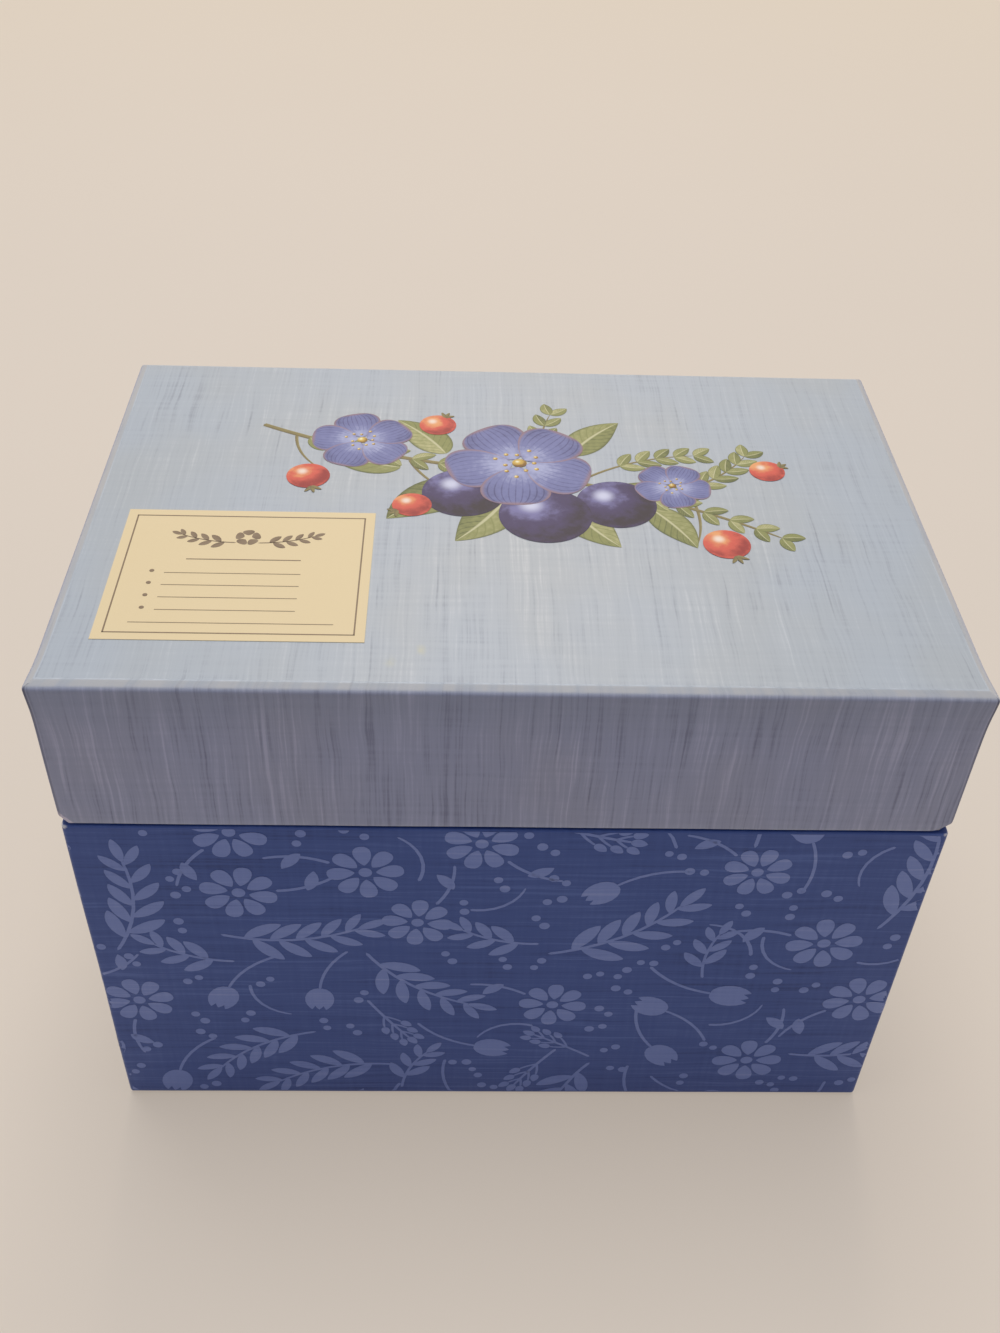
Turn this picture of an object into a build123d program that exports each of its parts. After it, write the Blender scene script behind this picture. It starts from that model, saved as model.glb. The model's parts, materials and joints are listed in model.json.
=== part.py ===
from build123d import *
import os
from math import radians, sin

# A recipe box of paper-covered board: a base tray, a flush hinged lid that closes over a neck,
# a file of recipe cards with tabbed dividers, and a pen on the floor in front of the file.
# Millimetres, +Z up, the front faces -Y, and the origin is under the middle of the box.

# Outer sizes of the box
box_width = 178.0
box_depth = 118.5
base_height = 96.4
rim_gap = 0.6
lid_height = 37.0

# Board and paper
base_board = 2.2
neck_board = 1.5
wrap_paper = 0.2
lining_paper = 0.2
bottom_paper = 0.2
turn_in = 15.0
turn_under = 14.0
lining_set_back = 5.0
bottom_sheet_inset = 3.0

# Rounding of the board's edges, under the paper
board_corner_round = 0.6
base_bottom_round = 1.0
base_rim_round = 0.6
lid_fold_round = 1.8
lid_rim_round = 0.2

# Worn front corners of the lid's rim
worn_corner_run = 2.4
worn_corner_rise = 3.0

# Paper tape over the board's corners
stay_tape = 0.1
stay_leg = 14.0
stay_end_gap = 5.0

# Neck that the lid closes over
neck_rise = 8.0
neck_clearance = 0.6
neck_bevel = 0.5

# Paper hinge on the back
hinge_paper = 0.25
hinge_leaf = 14.0
hinge_end_inset = 3.0
crease_gap = 0.1

# Label on the lid
label_width = 51.5
label_depth = 42.4
label_paper = 0.12
label_side_margin = 9.0
label_front_margin = 12.9

# File of cards and dividers
card_side_gap = 8.5
file_head_room = 14.9
tab_height = 12.7
tab_width = 44.0
tab_end_inset = 5.0
tab_round = 4.0
card_round = 2.0
card_paper = 0.3
divider_paper = 0.4
leaf_gap = 0.05
cards_per_file = 4
file_count = 9
tab_positions = 3
reference_count = 6
file_pitch = 4.0
lean_back = 10.0
tilt_forward = 20.0
leaf_floor_gap = 0.3
leaf_back_gap = 0.5

# Pen
pen_end_gap = 2.0
pen_floor_gap = 0.3
pen_front_gap = 0.5
barrel_radius = 4.1
barrel_bore = 2.6
barrel_neck_radius = 3.5
tip_length = 15.0
tip_face_radius = 1.1
refill_radius = 1.5
refill_fit = 0.05
point_radius = 0.5
point_length = 2.2
plug_flange = 2.0
plug_spigot = 6.0
plug_fit = 0.05
cap_length = 37.0
cap_end = 2.0
cap_wall = 1.0
cap_clearance = 0.3
cap_shoulder_gap = 0.3
point_clearance = 1.5
cap_pull_spare = 1.0
clip_length = 31.0
clip_width = 3.2
clip_thickness = 1.2
clip_lift = 1.0
clip_foot = 4.0

# The lid is flush with the base, and its wall is thinner by the room that the neck needs
lid_board = base_board - neck_clearance

# Heights
lid_rim_z = base_height + rim_gap
lid_top_z = lid_rim_z + lid_height
base_floor_z = bottom_paper + wrap_paper + base_board + lining_paper
lid_ceiling_z = lid_top_z - wrap_paper - lid_board - lining_paper

# Inside of the base's lining, and inside of the neck
base_wall = wrap_paper + base_board + wrap_paper + lining_paper
inner_width = box_width - 2 * base_wall
inner_depth = box_depth - 2 * base_wall
neck_inner_width = inner_width - 2 * neck_board
neck_inner_front = -inner_depth / 2 + neck_board
back_face = inner_depth / 2

# Cards fill the neck's width with a gap at each side, and the dividers end below the lid
card_width = neck_inner_width - 2 * card_side_gap
divider_height = lid_ceiling_z - base_floor_z - file_head_room
card_height = divider_height - tab_height
file_thickness = divider_paper + cards_per_file * (leaf_gap + card_paper)
reference_thickness = reference_count * card_paper + (reference_count - 1) * leaf_gap

# Each file turns on the middle of its bottom edge, high enough to tilt without scraping
leaf_pivot_z = base_floor_z + leaf_floor_gap + file_thickness / 2 * sin(radians(tilt_forward))
reference_y = (
    back_face
    - leaf_back_gap
    - reference_thickness / 2
    - card_height * sin(radians(lean_back))
)

# The pen and the room to draw its cap fill the width between the neck's sides
cap_radius = barrel_neck_radius + cap_clearance + cap_wall
pen_nose = cap_length - cap_end - point_clearance
cap_travel = pen_nose + cap_pull_spare
pen_length = neck_inner_width - 2 * pen_end_gap - cap_travel
pen_start_x = -neck_inner_width / 2 + pen_end_gap
pen_y = neck_inner_front + pen_front_gap + cap_radius
pen_z = base_floor_z + pen_floor_gap + cap_radius


def block(width, depth, low, high):
    """Sharp-edged block on the box's middle line, between two heights."""
    return Pos(0, 0, (low + high) / 2) * Box(width, depth, high - low)


def edge_profile(width, low, high, low_round, high_round):
    """Upright rectangle with its lower and upper corners rounded by their own radii."""
    outline = Pos(0, (low + high) / 2) * Rectangle(width, high - low)
    outline = fillet(outline.vertices().group_by(Axis.Y)[0], low_round)
    return fillet(outline.vertices().group_by(Axis.Y)[-1], high_round)


def rounded_block(inset, low, high, low_round, high_round):
    """The box's outline, inset all round, as a block with rounded corners, lower and upper edges."""
    width = box_width - 2 * inset
    depth = box_depth - 2 * inset
    corner_round = board_corner_round + wrap_paper - inset
    plan = Pos(0, 0, low) * extrude(RectangleRounded(width, depth, corner_round), high - low)
    front = extrude(Plane.XZ * edge_profile(width, low, high, low_round, high_round), box_depth, both=True)
    side = extrude(Plane.YZ * edge_profile(depth, low, high, low_round, high_round), box_width, both=True)
    return plan & front & side


def worn_corners(height, inset):
    """Half-space blocks beyond the sloping planes that cut the front corners of a rim."""
    cuts = []
    for side in (-1, 1):
        outward = Vector(side / worn_corner_run, -1 / worn_corner_run, 1 / worn_corner_rise)
        on_edge = Vector(side * box_width / 2, -box_depth / 2, height - worn_corner_rise)
        face = Plane(origin=on_edge - outward.normalized() * inset, z_dir=outward)
        cuts.append(face * Pos(0, 0, stay_leg / 2) * Box(stay_leg, stay_leg, stay_leg))
    return cuts


def corner_stays(height):
    """Strips of tape round the four upright corners of the board, let into its outer face."""
    width = box_width - 2 * wrap_paper
    depth = box_depth - 2 * wrap_paper
    ring = RectangleRounded(width, depth, board_corner_round)
    ring -= RectangleRounded(width - 2 * stay_tape, depth - 2 * stay_tape, board_corner_round - stay_tape)
    legs = GridLocations(width - stay_leg, depth - stay_leg, 2, 2) * Rectangle(stay_leg, stay_leg)
    strips = extrude(Sketch() + (ring & (Sketch() + legs)), height - 2 * stay_end_gap)
    return Pos(0, 0, stay_end_gap) * strips


def wrapped_tray(height, board, closed_round, rim_round, worn=False, window=False):
    """A board tray with its stays, wrap and lining, closed at height 0 and open at the rim.

    The wrap covers the outside, folds over the rim and ends as a turn-in down the inside. With a
    window, its closed side is only a turned-under border. The lining covers the rest of the inside.
    """
    outer = rounded_block(0, 0, height, closed_round + wrap_paper, rim_round + wrap_paper)
    core = rounded_block(wrap_paper, wrap_paper, height - wrap_paper, closed_round, rim_round)
    if worn:
        outer -= worn_corners(height, 0)
        core -= worn_corners(height, wrap_paper)

    floor = wrap_paper + board
    cavity_width = box_width - 2 * floor
    cavity_depth = box_depth - 2 * floor
    passage = block(cavity_width - 2 * wrap_paper, cavity_depth - 2 * wrap_paper, floor, height)
    stays = corner_stays(height)
    tray = core - block(cavity_width, cavity_depth, floor, height) - stays

    border = block(cavity_width, cavity_depth, height - turn_in, height - wrap_paper) - passage
    wrap = outer - core - passage + border
    if window:
        wrap -= block(box_width - 2 * turn_under, box_depth - 2 * turn_under, 0, wrap_paper)

    wall = wrap_paper + lining_paper
    lining = block(cavity_width, cavity_depth, floor, height - lining_set_back) - border
    lining -= block(cavity_width - 2 * wall, cavity_depth - 2 * wall, floor + lining_paper, height)
    return {"board": tray, "corner_stays": stays, "wrap": wrap, "lining": lining}


def base_parts():
    """The base tray, standing on its bottom sheet."""
    tray = wrapped_tray(
        base_height - bottom_paper, base_board, base_bottom_round, base_rim_round, window=True
    )
    placed = {f"base_{name}": Pos(0, 0, bottom_paper) * shape for name, shape in tray.items()}
    sheet_width = box_width - 2 * bottom_sheet_inset
    sheet_depth = box_depth - 2 * bottom_sheet_inset
    sheet = block(sheet_width, sheet_depth, 0, bottom_paper + wrap_paper)
    placed["base_bottom_sheet"] = sheet - placed["base_wrap"]
    return placed


def lid_parts():
    """The lid tray, turned over so that its rim faces the base's rim."""
    tray = wrapped_tray(lid_height, lid_board, lid_fold_round, lid_rim_round, worn=True)
    return {f"lid_{name}": Pos(0, 0, lid_top_z) * mirror(shape, Plane.XY) for name, shape in tray.items()}


def neck_panel(length, outward):
    """A neck board that stands on the base's floor, with its upper outer edge bevelled.

    The panel's outer face is at local Y 0, looking along -Y, and outward is its turn about +Z.
    """
    height = base_height + neck_rise - base_floor_z
    panel = Pos(0, neck_board / 2, base_floor_z + height / 2) * Box(length, neck_board, height)
    top_edges = panel.edges().filter_by(Axis.X).group_by(Axis.Z)[-1]
    return Rot(0, 0, outward) * chamfer(top_edges.sort_by(Axis.Y)[0], neck_bevel)


def neck_parts():
    """Front board between two full-depth side boards, against the base's lining."""
    return {
        "neck_front": Pos(0, -inner_depth / 2, 0) * neck_panel(neck_inner_width, 0),
        "neck_left": Pos(-inner_width / 2, 0, 0) * neck_panel(inner_depth, -90),
        "neck_right": Pos(inner_width / 2, 0, 0) * neck_panel(inner_depth, 90),
    }


def hinge_parts():
    """The two leaves of the paper hinge on the back, parted at the crease."""
    crease_z = base_height + rim_gap / 2
    leaf = Box(box_width - 2 * hinge_end_inset, hinge_paper, hinge_leaf)
    offset = (hinge_leaf + crease_gap) / 2
    strip_y = box_depth / 2 + hinge_paper / 2
    return {
        "hinge_strip_base": Pos(0, strip_y, crease_z - offset) * leaf,
        "hinge_strip_lid": Pos(0, strip_y, crease_z + offset) * leaf,
    }


def label_part():
    """The sticker near the front left corner of the lid's top."""
    x = -box_width / 2 + label_side_margin + label_width / 2
    y = -box_depth / 2 + label_front_margin + label_depth / 2
    return Pos(x, y, lid_top_z + label_paper / 2) * Box(label_width, label_depth, label_paper)


def leaf(outline, thickness, front):
    """A sheet standing on its pivot line, whose front face lies the given distance behind the pivot."""
    return Pos(0, front + thickness, 0) * extrude(Plane.XZ * outline, thickness)


def card_outline():
    """A plain card with rounded corners, standing on its long edge."""
    return Pos(0, card_height / 2) * RectangleRounded(card_width, card_height, card_round)


def divider_outline(position):
    """A card outline with a round-cornered tab at one of the staggered positions."""
    travel = card_width - 2 * tab_end_inset - tab_width
    x = -travel / 2 + travel * position / (tab_positions - 1)
    tab = RectangleRounded(tab_width, 2 * tab_height, tab_round)
    return card_outline() + Pos(x, card_height) * tab


def card_stack(count, front):
    """Cards one behind another with thin gaps, starting from a front face."""
    step = card_paper + leaf_gap
    return Compound([leaf(card_outline(), card_paper, front + step * n) for n in range(count)])


def lean(shape, y):
    """A leaf, leaned back about its pivot line and put in its row of the file."""
    return Pos(0, y, leaf_pivot_z) * Rot(-lean_back, 0, 0) * shape


def file_parts():
    """Nine tabbed dividers with their cards, and the reference cards behind them."""
    parts = {}
    front = -file_thickness / 2
    for number in range(1, file_count + 1):
        y = reference_y - file_pitch * (file_count + 1 - number)
        outline = divider_outline((number - 1) % tab_positions)
        parts[f"divider_{number}"] = lean(leaf(outline, divider_paper, front), y)
        cards = card_stack(cards_per_file, front + divider_paper + leaf_gap)
        parts[f"recipe_cards_{number}"] = lean(cards, y)
    parts["reference_cards"] = lean(card_stack(reference_count, -reference_thickness / 2), reference_y)
    return parts


def rod(radius, start, end):
    """Round bar along the pen's axis between two distances from the pen's rear end."""
    return Rot(0, 90, 0) * Pos(0, 0, (start + end) / 2) * Cylinder(radius, end - start)


def pen_parts():
    """A stick pen on its side, with its cap at the +X end and the clip on top."""
    shoulder = pen_length - cap_length - cap_shoulder_gap
    point = pen_length - cap_end - point_clearance
    tip_end = point - point_length
    tip_start = tip_end - tip_length
    refill_start = plug_flange + plug_spigot

    barrel = rod(barrel_radius, plug_flange, shoulder) + rod(barrel_neck_radius, shoulder, tip_start)
    barrel -= rod(barrel_bore, plug_flange, tip_start)
    cone = Cone(barrel_neck_radius, tip_face_radius + refill_fit, tip_length)
    tip = Rot(0, 90, 0) * Pos(0, 0, (tip_start + tip_end) / 2) * cone
    tip -= rod(point_radius + refill_fit, tip_start, tip_end)
    tube_end = tip_start
    refill = rod(refill_radius, refill_start, tube_end) + rod(point_radius, tube_end, point)
    plug = rod(barrel_radius, 0, plug_flange)
    plug += rod(barrel_bore - plug_fit, plug_flange, plug_flange + plug_spigot)

    cap_start = pen_length - cap_length
    cap = rod(cap_radius, cap_start, pen_length)
    cap -= rod(barrel_neck_radius + cap_clearance, cap_start, pen_length - cap_end)
    clip_z = cap_radius + clip_lift
    clip_bar = Box(clip_length, clip_width, clip_thickness)
    clip_bar = Pos(pen_length - clip_length / 2, 0, clip_z + clip_thickness / 2) * clip_bar
    foot_base = barrel_neck_radius + cap_clearance + cap_wall / 2
    foot = Box(clip_foot, clip_width, clip_z - foot_base)
    cap += clip_bar + Pos(pen_length - clip_foot / 2, 0, (clip_z + foot_base) / 2) * foot

    place = Pos(pen_start_x, pen_y, pen_z)
    return {
        "pen_barrel": place * barrel,
        "pen_tip": place * tip,
        "pen_refill": place * refill,
        "pen_end_plug": place * plug,
        "pen_cap": place * cap,
    }


def all_parts():
    """Every piece of the box by name."""
    parts = base_parts()
    parts |= lid_parts()
    parts |= neck_parts()
    parts |= hinge_parts()
    parts["lid_label"] = label_part()
    parts |= file_parts()
    parts |= pen_parts()
    return parts


os.makedirs("parts", exist_ok=True)
for node, shape in all_parts().items():
    export_step(shape, f"parts/{node}.step")

print("card", round(card_width, 2), "x", round(card_height, 2), "divider height", round(divider_height, 2))
print("pen length", round(pen_length, 2), "cap travel", round(cap_travel, 2))
print("file rows from y", round(reference_y - file_pitch * file_count, 2), "to", round(reference_y, 2))
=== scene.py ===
"""Looks of a paper-covered recipe box: its printed wraps, sticker, paper hinge, card file and pen.

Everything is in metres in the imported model's frame: +Z up, the front faces -Y, and the origin lies
under the middle of the box. Sizes that the model fixes are read from the frame. Arrays of positions
have three numbers in their last axis. Drawn strokes are in millimetres and degrees until they are
laid on a surface.
"""

import json
import logging
import math
from abc import ABC, abstractmethod
from collections.abc import Callable, Sequence
from dataclasses import asdict, dataclass, field, replace
from enum import Enum
from functools import cache, partial, reduce
from typing import NamedTuple

import bmesh
import bpy
import numpy as np
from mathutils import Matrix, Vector


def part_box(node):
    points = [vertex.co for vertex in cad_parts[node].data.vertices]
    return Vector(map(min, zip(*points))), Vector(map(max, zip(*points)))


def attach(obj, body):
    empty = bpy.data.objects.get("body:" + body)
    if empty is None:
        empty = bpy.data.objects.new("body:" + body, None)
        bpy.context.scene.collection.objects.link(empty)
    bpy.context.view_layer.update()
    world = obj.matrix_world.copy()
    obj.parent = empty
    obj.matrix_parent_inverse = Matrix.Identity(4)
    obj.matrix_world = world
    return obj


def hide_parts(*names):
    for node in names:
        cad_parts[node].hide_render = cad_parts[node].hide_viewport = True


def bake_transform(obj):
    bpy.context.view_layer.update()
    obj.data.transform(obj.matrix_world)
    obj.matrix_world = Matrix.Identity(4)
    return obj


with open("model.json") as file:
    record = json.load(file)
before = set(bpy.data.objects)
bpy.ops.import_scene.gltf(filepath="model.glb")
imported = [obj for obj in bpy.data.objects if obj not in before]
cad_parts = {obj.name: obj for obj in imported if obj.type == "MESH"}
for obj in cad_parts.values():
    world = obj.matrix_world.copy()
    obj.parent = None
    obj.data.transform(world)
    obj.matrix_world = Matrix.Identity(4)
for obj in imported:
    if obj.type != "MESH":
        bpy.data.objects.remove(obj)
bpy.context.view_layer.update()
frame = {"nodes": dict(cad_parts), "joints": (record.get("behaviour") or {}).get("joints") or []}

LOG = logging.getLogger("recipe_box")
MM = 0.001
PAPER = 0.2 * MM
SAME_PLACE = 0.2e-6
STRAIGHT = 1e-4
TINY = 1e-9

Array = np.ndarray
Colour = tuple[float, float, float, float]
Display = tuple[int, int, int]
Span = tuple[float, float]
Triple = tuple[float, float, float]
Table = tuple[tuple[float, ...], ...]
Marks = dict[str, Array]
Socket = bpy.types.NodeSocket
Feed = Socket | float | Sequence[float]
Feeds = dict[str | int, Feed]
Outputs = dict[str, Socket]
Material = bpy.types.Material
Piece = bpy.types.Object
Placing = Callable[[Array, Array], Array]


# Colours


def srgb(*display: int) -> Colour:
    """Linear light of a display colour of 0 to 255: a straight line near black, and a power above it."""
    share = np.array(display) / 255
    return (*np.where(share <= 0.04045, share / 12.92, ((share + 0.055) / 1.055) ** 2.4).tolist(), 1.0)


def dimmed(colour: Colour, share: float) -> Colour:
    """A share of a colour's light, with full alpha."""
    return (*(share * part for part in colour[:3]), 1.0)


@dataclass(frozen=True)
class Shades:
    """Dark, middle and light colour of one finish."""

    dark: Colour
    ground: Colour
    light: Colour

    @classmethod
    def of(cls, *display: Display) -> "Shades":
        """The shades of three display colours, from dark to light."""
        return cls(*(srgb(*colour) for colour in display))


# Meshes


def line(start: Sequence[float], end: Sequence[float], count: int) -> Array:
    """Evenly spaced points from start up to, but not including, end."""
    share = np.arange(count)[:, None] / count
    return np.array(start) * (1 - share) + np.array(end) * share


def graded(half: float, fine_zone: float, fine: float, coarse: float) -> Array:
    """Places from -1 to 1 along a run, close together near its ends and wide in its middle.

    Args:
        half: Half the run's length.
        fine_zone: Length at each end that has the fine step.
        fine: Step near the ends.
        coarse: Step in the middle.

    Returns:
        The places as shares of the half length.
    """
    middle = half - fine_zone
    inner = np.linspace(-middle, middle, max(2, round(2 * middle / coarse)))
    outer = np.linspace(middle, half, max(2, round(fine_zone / fine)))[1:]
    return np.concatenate([-outer[::-1], inner, outer]) / half


def fading(distance: Array, strength: float, length: float) -> Array:
    """A strength that dies off with distance, by the same share over each further length."""
    return strength * np.exp(-np.abs(distance) / length)


def turned(places: Array, degrees: float) -> Array:
    """Flat places turned about the origin."""
    cos, sin = math.cos(math.radians(degrees)), math.sin(math.radians(degrees))
    return places @ np.array([[cos, sin], [-sin, cos]])


def stacked(*parts: Array | float) -> Array:
    """Arrays and numbers, spread to one shape and put side by side in a new last axis."""
    return np.stack(np.broadcast_arrays(*parts), axis=-1)


def grid_faces(rows: int, columns: int, copies: int = 1, closed: bool = False) -> Array:
    """Quads of one or more point grids that follow each other in memory.

    Args:
        rows: Points along the first direction of a grid.
        columns: Points along its second direction.
        copies: How many such grids there are.
        closed: Whether the last column joins the first.

    Returns:
        Point numbers of every quad, four to a row.
    """
    row = np.arange(rows - 1)[:, None] * columns
    column = np.arange(columns if closed else columns - 1)
    after = (column + 1) % columns
    quads = stacked(row + column, row + after, row + columns + after, row + columns + column).reshape(-1, 4)
    offset = np.arange(copies)[:, None, None] * rows * columns
    return (quads + offset).reshape(-1, 4)


@dataclass
class Patch:
    """Points, quads, map coordinates and per-point marks, before they become one mesh."""

    points: Array
    faces: Array
    uv: Array
    marks: Marks = field(default_factory=dict)

    @classmethod
    def grid(
        cls, points: Array, uv: Array, marks: Marks | None = None,
        closed: bool = False, flip: bool = False,
    ) -> "Patch":
        """One grid of points, rows by columns.

        Args:
            points: Positions, rows by columns by three.
            uv: Map coordinates, rows by columns by two.
            marks: Named values, rows by columns.
            closed: Whether the last column joins the first.
            flip: Whether the faces look the other way.

        Returns:
            The patch.
        """
        faces = grid_faces(*points.shape[:2], closed=closed)
        flat = {name: values.reshape(-1) for name, values in (marks or {}).items()}
        return cls(points.reshape(-1, 3), faces[:, ::-1] if flip else faces, uv.reshape(-1, 2), flat)

    @classmethod
    def strip(
        cls, loops: Array, uv: Array, marks: Marks | None = None, flip: bool = False
    ) -> "Patch":
        """A thin solid from loops of points along a path, whose end loops close onto their own middle.

        Args:
            loops: Points, loops by points by three; the second half of a loop mirrors the first.
            uv: Map coordinates of the same points.
            marks: Named values of the same points.
            flip: Whether the faces look the other way.

        Returns:
            The patch with closed ends.
        """
        capped = [0, *range(len(loops)), -1]
        points = loops[capped]
        for end in (0, -1):
            points[end] = (points[end] + points[end][::-1]) / 2
        more = {name: values[capped] for name, values in (marks or {}).items()}
        return cls.grid(points, uv[capped], more, closed=True, flip=flip)


def make_piece(name: str, patches: Sequence[Patch], crease: float = 35.0, merge: bool = True) -> Piece:
    """Joins patches into one smooth-shaded mesh object at the origin.

    Args:
        name: The piece's name.
        patches: What it is made of; all carry the same marks.
        crease: Edges that turn by more than this many degrees stay sharp.
        merge: Whether points of different patches in one place become one point, which closes seams.

    Returns:
        The linked object.
    """
    starts = np.cumsum([0] + [len(patch.points) for patch in patches])
    points = np.concatenate([patch.points for patch in patches])
    faces = np.concatenate([patch.faces + start for patch, start in zip(patches, starts)])
    uv = np.concatenate([patch.uv for patch in patches])
    mesh = bpy.data.meshes.new(name)
    mesh.from_pydata(points.tolist(), [], faces.tolist())
    mesh.uv_layers.new(name="sheet").data.foreach_set("uv", uv[faces.ravel()].astype(np.float32).ravel())
    for mark in patches[0].marks:
        values = np.concatenate([patch.marks[mark] for patch in patches])
        mesh.attributes.new(mark, "FLOAT", "POINT").data.foreach_set("value", values.astype(np.float32))
    work = bmesh.new()
    work.from_mesh(mesh)
    if merge:
        bmesh.ops.remove_doubles(work, verts=work.verts, dist=SAME_PLACE)
    bmesh.ops.dissolve_degenerate(work, edges=work.edges, dist=SAME_PLACE)
    work.to_mesh(mesh)
    work.free()
    mesh.shade_smooth()
    mesh.set_sharp_from_angle(angle=math.radians(crease))
    piece = bpy.data.objects.new(name, mesh)
    bpy.context.scene.collection.objects.link(piece)
    return piece


def settle(piece: Piece, body: str, slot: str, finish: Material, replaced: Sequence[str] = ()) -> None:
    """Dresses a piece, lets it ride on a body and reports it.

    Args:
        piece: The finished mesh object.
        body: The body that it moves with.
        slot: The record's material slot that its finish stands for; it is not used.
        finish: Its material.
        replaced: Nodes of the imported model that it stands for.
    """
    piece.data.materials.append(finish)
    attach(piece, body)
    if replaced:
        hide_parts(*replaced)
    LOG.info("%s: %d faces on %s", piece.name, len(piece.data.polygons), body)


# Shader wiring


@dataclass
class Wiring:
    """Adds nodes to one tree and joins them, so that a finish reads as a list of steps."""

    tree: bpy.types.NodeTree

    def feed(self, socket: Socket, value: Feed) -> None:
        """Links another node's output to an input, or sets the input's own value.

        Args:
            socket: The input.
            value: The output, or a plain value.
        """
        if isinstance(value, Socket):
            self.tree.links.new(value, socket)
        else:
            socket.default_value = value

    def node(self, kind: str, feeds: Feeds | None = None, **settings: object) -> bpy.types.Node:
        """Adds a node with its settings and feeds.

        Args:
            kind: Blender's name for the node type.
            feeds: Value or source of each named or numbered input.
            **settings: The node's own properties.

        Returns:
            The node.
        """
        made = self.tree.nodes.new(kind)
        for key, value in settings.items():
            setattr(made, key, value)
        for key, value in (feeds or {}).items():
            self.feed(made.inputs[key], value)
        return made

    def math(self, operation: str, *values: Feed) -> Socket:
        """One arithmetic step on up to three values."""
        return self.node("ShaderNodeMath", dict(enumerate(values)), operation=operation).outputs[0]

    def vector(self, operation: str, *vectors: Feed) -> Socket:
        """One step on vectors, where a distance or a length comes out as a number."""
        made = self.node("ShaderNodeVectorMath", dict(enumerate(vectors)), operation=operation)
        return made.outputs["Value" if operation in ("DISTANCE", "LENGTH") else "Vector"]

    def product(self, *factors: Feed) -> Socket:
        """All the factors multiplied."""
        return reduce(partial(self.math, "MULTIPLY"), factors)

    def total(self, *terms: tuple[Feed, float]) -> Socket:
        """Sum of values, each times its own weight."""
        return reduce(lambda so_far, term: self.math("MULTIPLY_ADD", *term, so_far), terms, 0.0)

    def centred(self, value: Feed) -> Socket:
        """A share of 0 to 1, moved to lie about zero."""
        return self.math("SUBTRACT", value, 0.5)

    def gap(self, first: Feed, second: Feed) -> Socket:
        """How far two values lie apart."""
        return self.math("ABSOLUTE", self.math("SUBTRACT", first, second))

    def remap(self, value: Feed, low: float, high: float, to_low: float = 0, to_high: float = 1) -> Socket:
        """A value moved smoothly from one range to another, and held at its ends."""
        feeds = {"Value": value, "From Min": low, "From Max": high, "To Min": to_low, "To Max": to_high}
        return self.node("ShaderNodeMapRange", feeds, interpolation_type="SMOOTHSTEP").outputs[0]

    def band(self, value: Feed, rise: Span, fall: Span) -> Socket:
        """A share that rises over one range of a value and falls over a later one."""
        return self.product(self.remap(value, *rise), self.remap(value, *reversed(fall)))

    def noise(self, vector: Feed, scale: Triple, detail: float = 2.0, roughness: float = 0.5) -> Socket:
        """Noise with its own number of waves to a metre along each axis."""
        feeds = {"Vector": self.vector("MULTIPLY", vector, scale), "Scale": 1.0}
        return self.node("ShaderNodeTexNoise", {**feeds, "Detail": detail, "Roughness": roughness}).outputs[0]

    def mix(self, share: Feed, first: Feed, second: Feed, blend: str = "MIX") -> Socket:
        """Two colours mixed by a share."""
        feeds = {0: share, 6: first, 7: second}
        return self.node("ShaderNodeMix", feeds, data_type="RGBA", blend_type=blend).outputs[2]

    def tones(self, tone: Feed, shades: Shades) -> Socket:
        """Dark, ground and light colours over tones from 0 through a half to 1."""
        shaded = self.mix(self.remap(tone, 0.0, 0.5), shades.dark, shades.ground)
        return self.mix(self.remap(tone, 0.5, 1.0), shaded, shades.light)

    def split(self, vector: Feed) -> tuple[Socket, Socket]:
        """The first two parts of a vector."""
        parts = self.node("ShaderNodeSeparateXYZ", {0: vector}).outputs
        return parts[0], parts[1]

    def point(self, x: Feed, y: Feed = 0.0) -> Socket:
        """A vector from its first two parts."""
        return self.node("ShaderNodeCombineXYZ", {0: x, 1: y}).outputs[0]

    def mark(self, name: str) -> Socket:
        """A per-point value of the mesh."""
        return self.node("ShaderNodeAttribute", attribute_name=name).outputs["Fac"]

    def sheet(self) -> Socket:
        """The piece's own map coordinates."""
        return self.node("ShaderNodeUVMap", uv_map="sheet").outputs[0]

    def place(self) -> Socket:
        """Coordinates in the object, which are those of the frame."""
        return self.node("ShaderNodeTexCoord").outputs["Object"]


class SurfaceWiring(Wiring):
    """Wiring of one material, whose shader is a single Principled surface."""

    def __init__(self, name: str, rough: float, specular: float = 0.4, metal: float = 0.0) -> None:
        """Makes the material with its plain values.

        Args:
            name: The material's name.
            rough: Roughness where nothing else feeds it.
            specular: Strength of the plain reflection.
            metal: How metallic the surface is.
        """
        self.material = bpy.data.materials.new(name)
        self.material.use_nodes = True
        super().__init__(self.material.node_tree)
        self.shader = self.tree.nodes["Principled BSDF"]
        for key, value in (("Roughness", rough), ("Specular IOR Level", specular), ("Metallic", metal)):
            self.shader.inputs[key].default_value = value

    def painted(self, colour: Feed) -> Material:
        """Sends a colour to the surface, and gives the material."""
        self.feed(self.shader.inputs["Base Color"], colour)
        return self.material

    def roughen(self, value: Feed) -> None:
        """Sends a roughness to the surface."""
        self.feed(self.shader.inputs["Roughness"], value)

    def relief(self, height: Feed, depth: float, strength: float) -> None:
        """Bumps the surface by a height of 0 to 1 times a depth in metres."""
        feeds = {"Height": height, "Distance": depth, "Strength": strength}
        self.feed(self.shader.inputs["Normal"], self.node("ShaderNodeBump", feeds).outputs[0])

    def group(self, tree: bpy.types.NodeTree, feeds: Feeds) -> bpy.types.NodeOutputs:
        """Places a shared effect with this material's own values, and gives its outputs."""
        return self.node("ShaderNodeGroup", feeds, node_tree=tree).outputs


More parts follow.
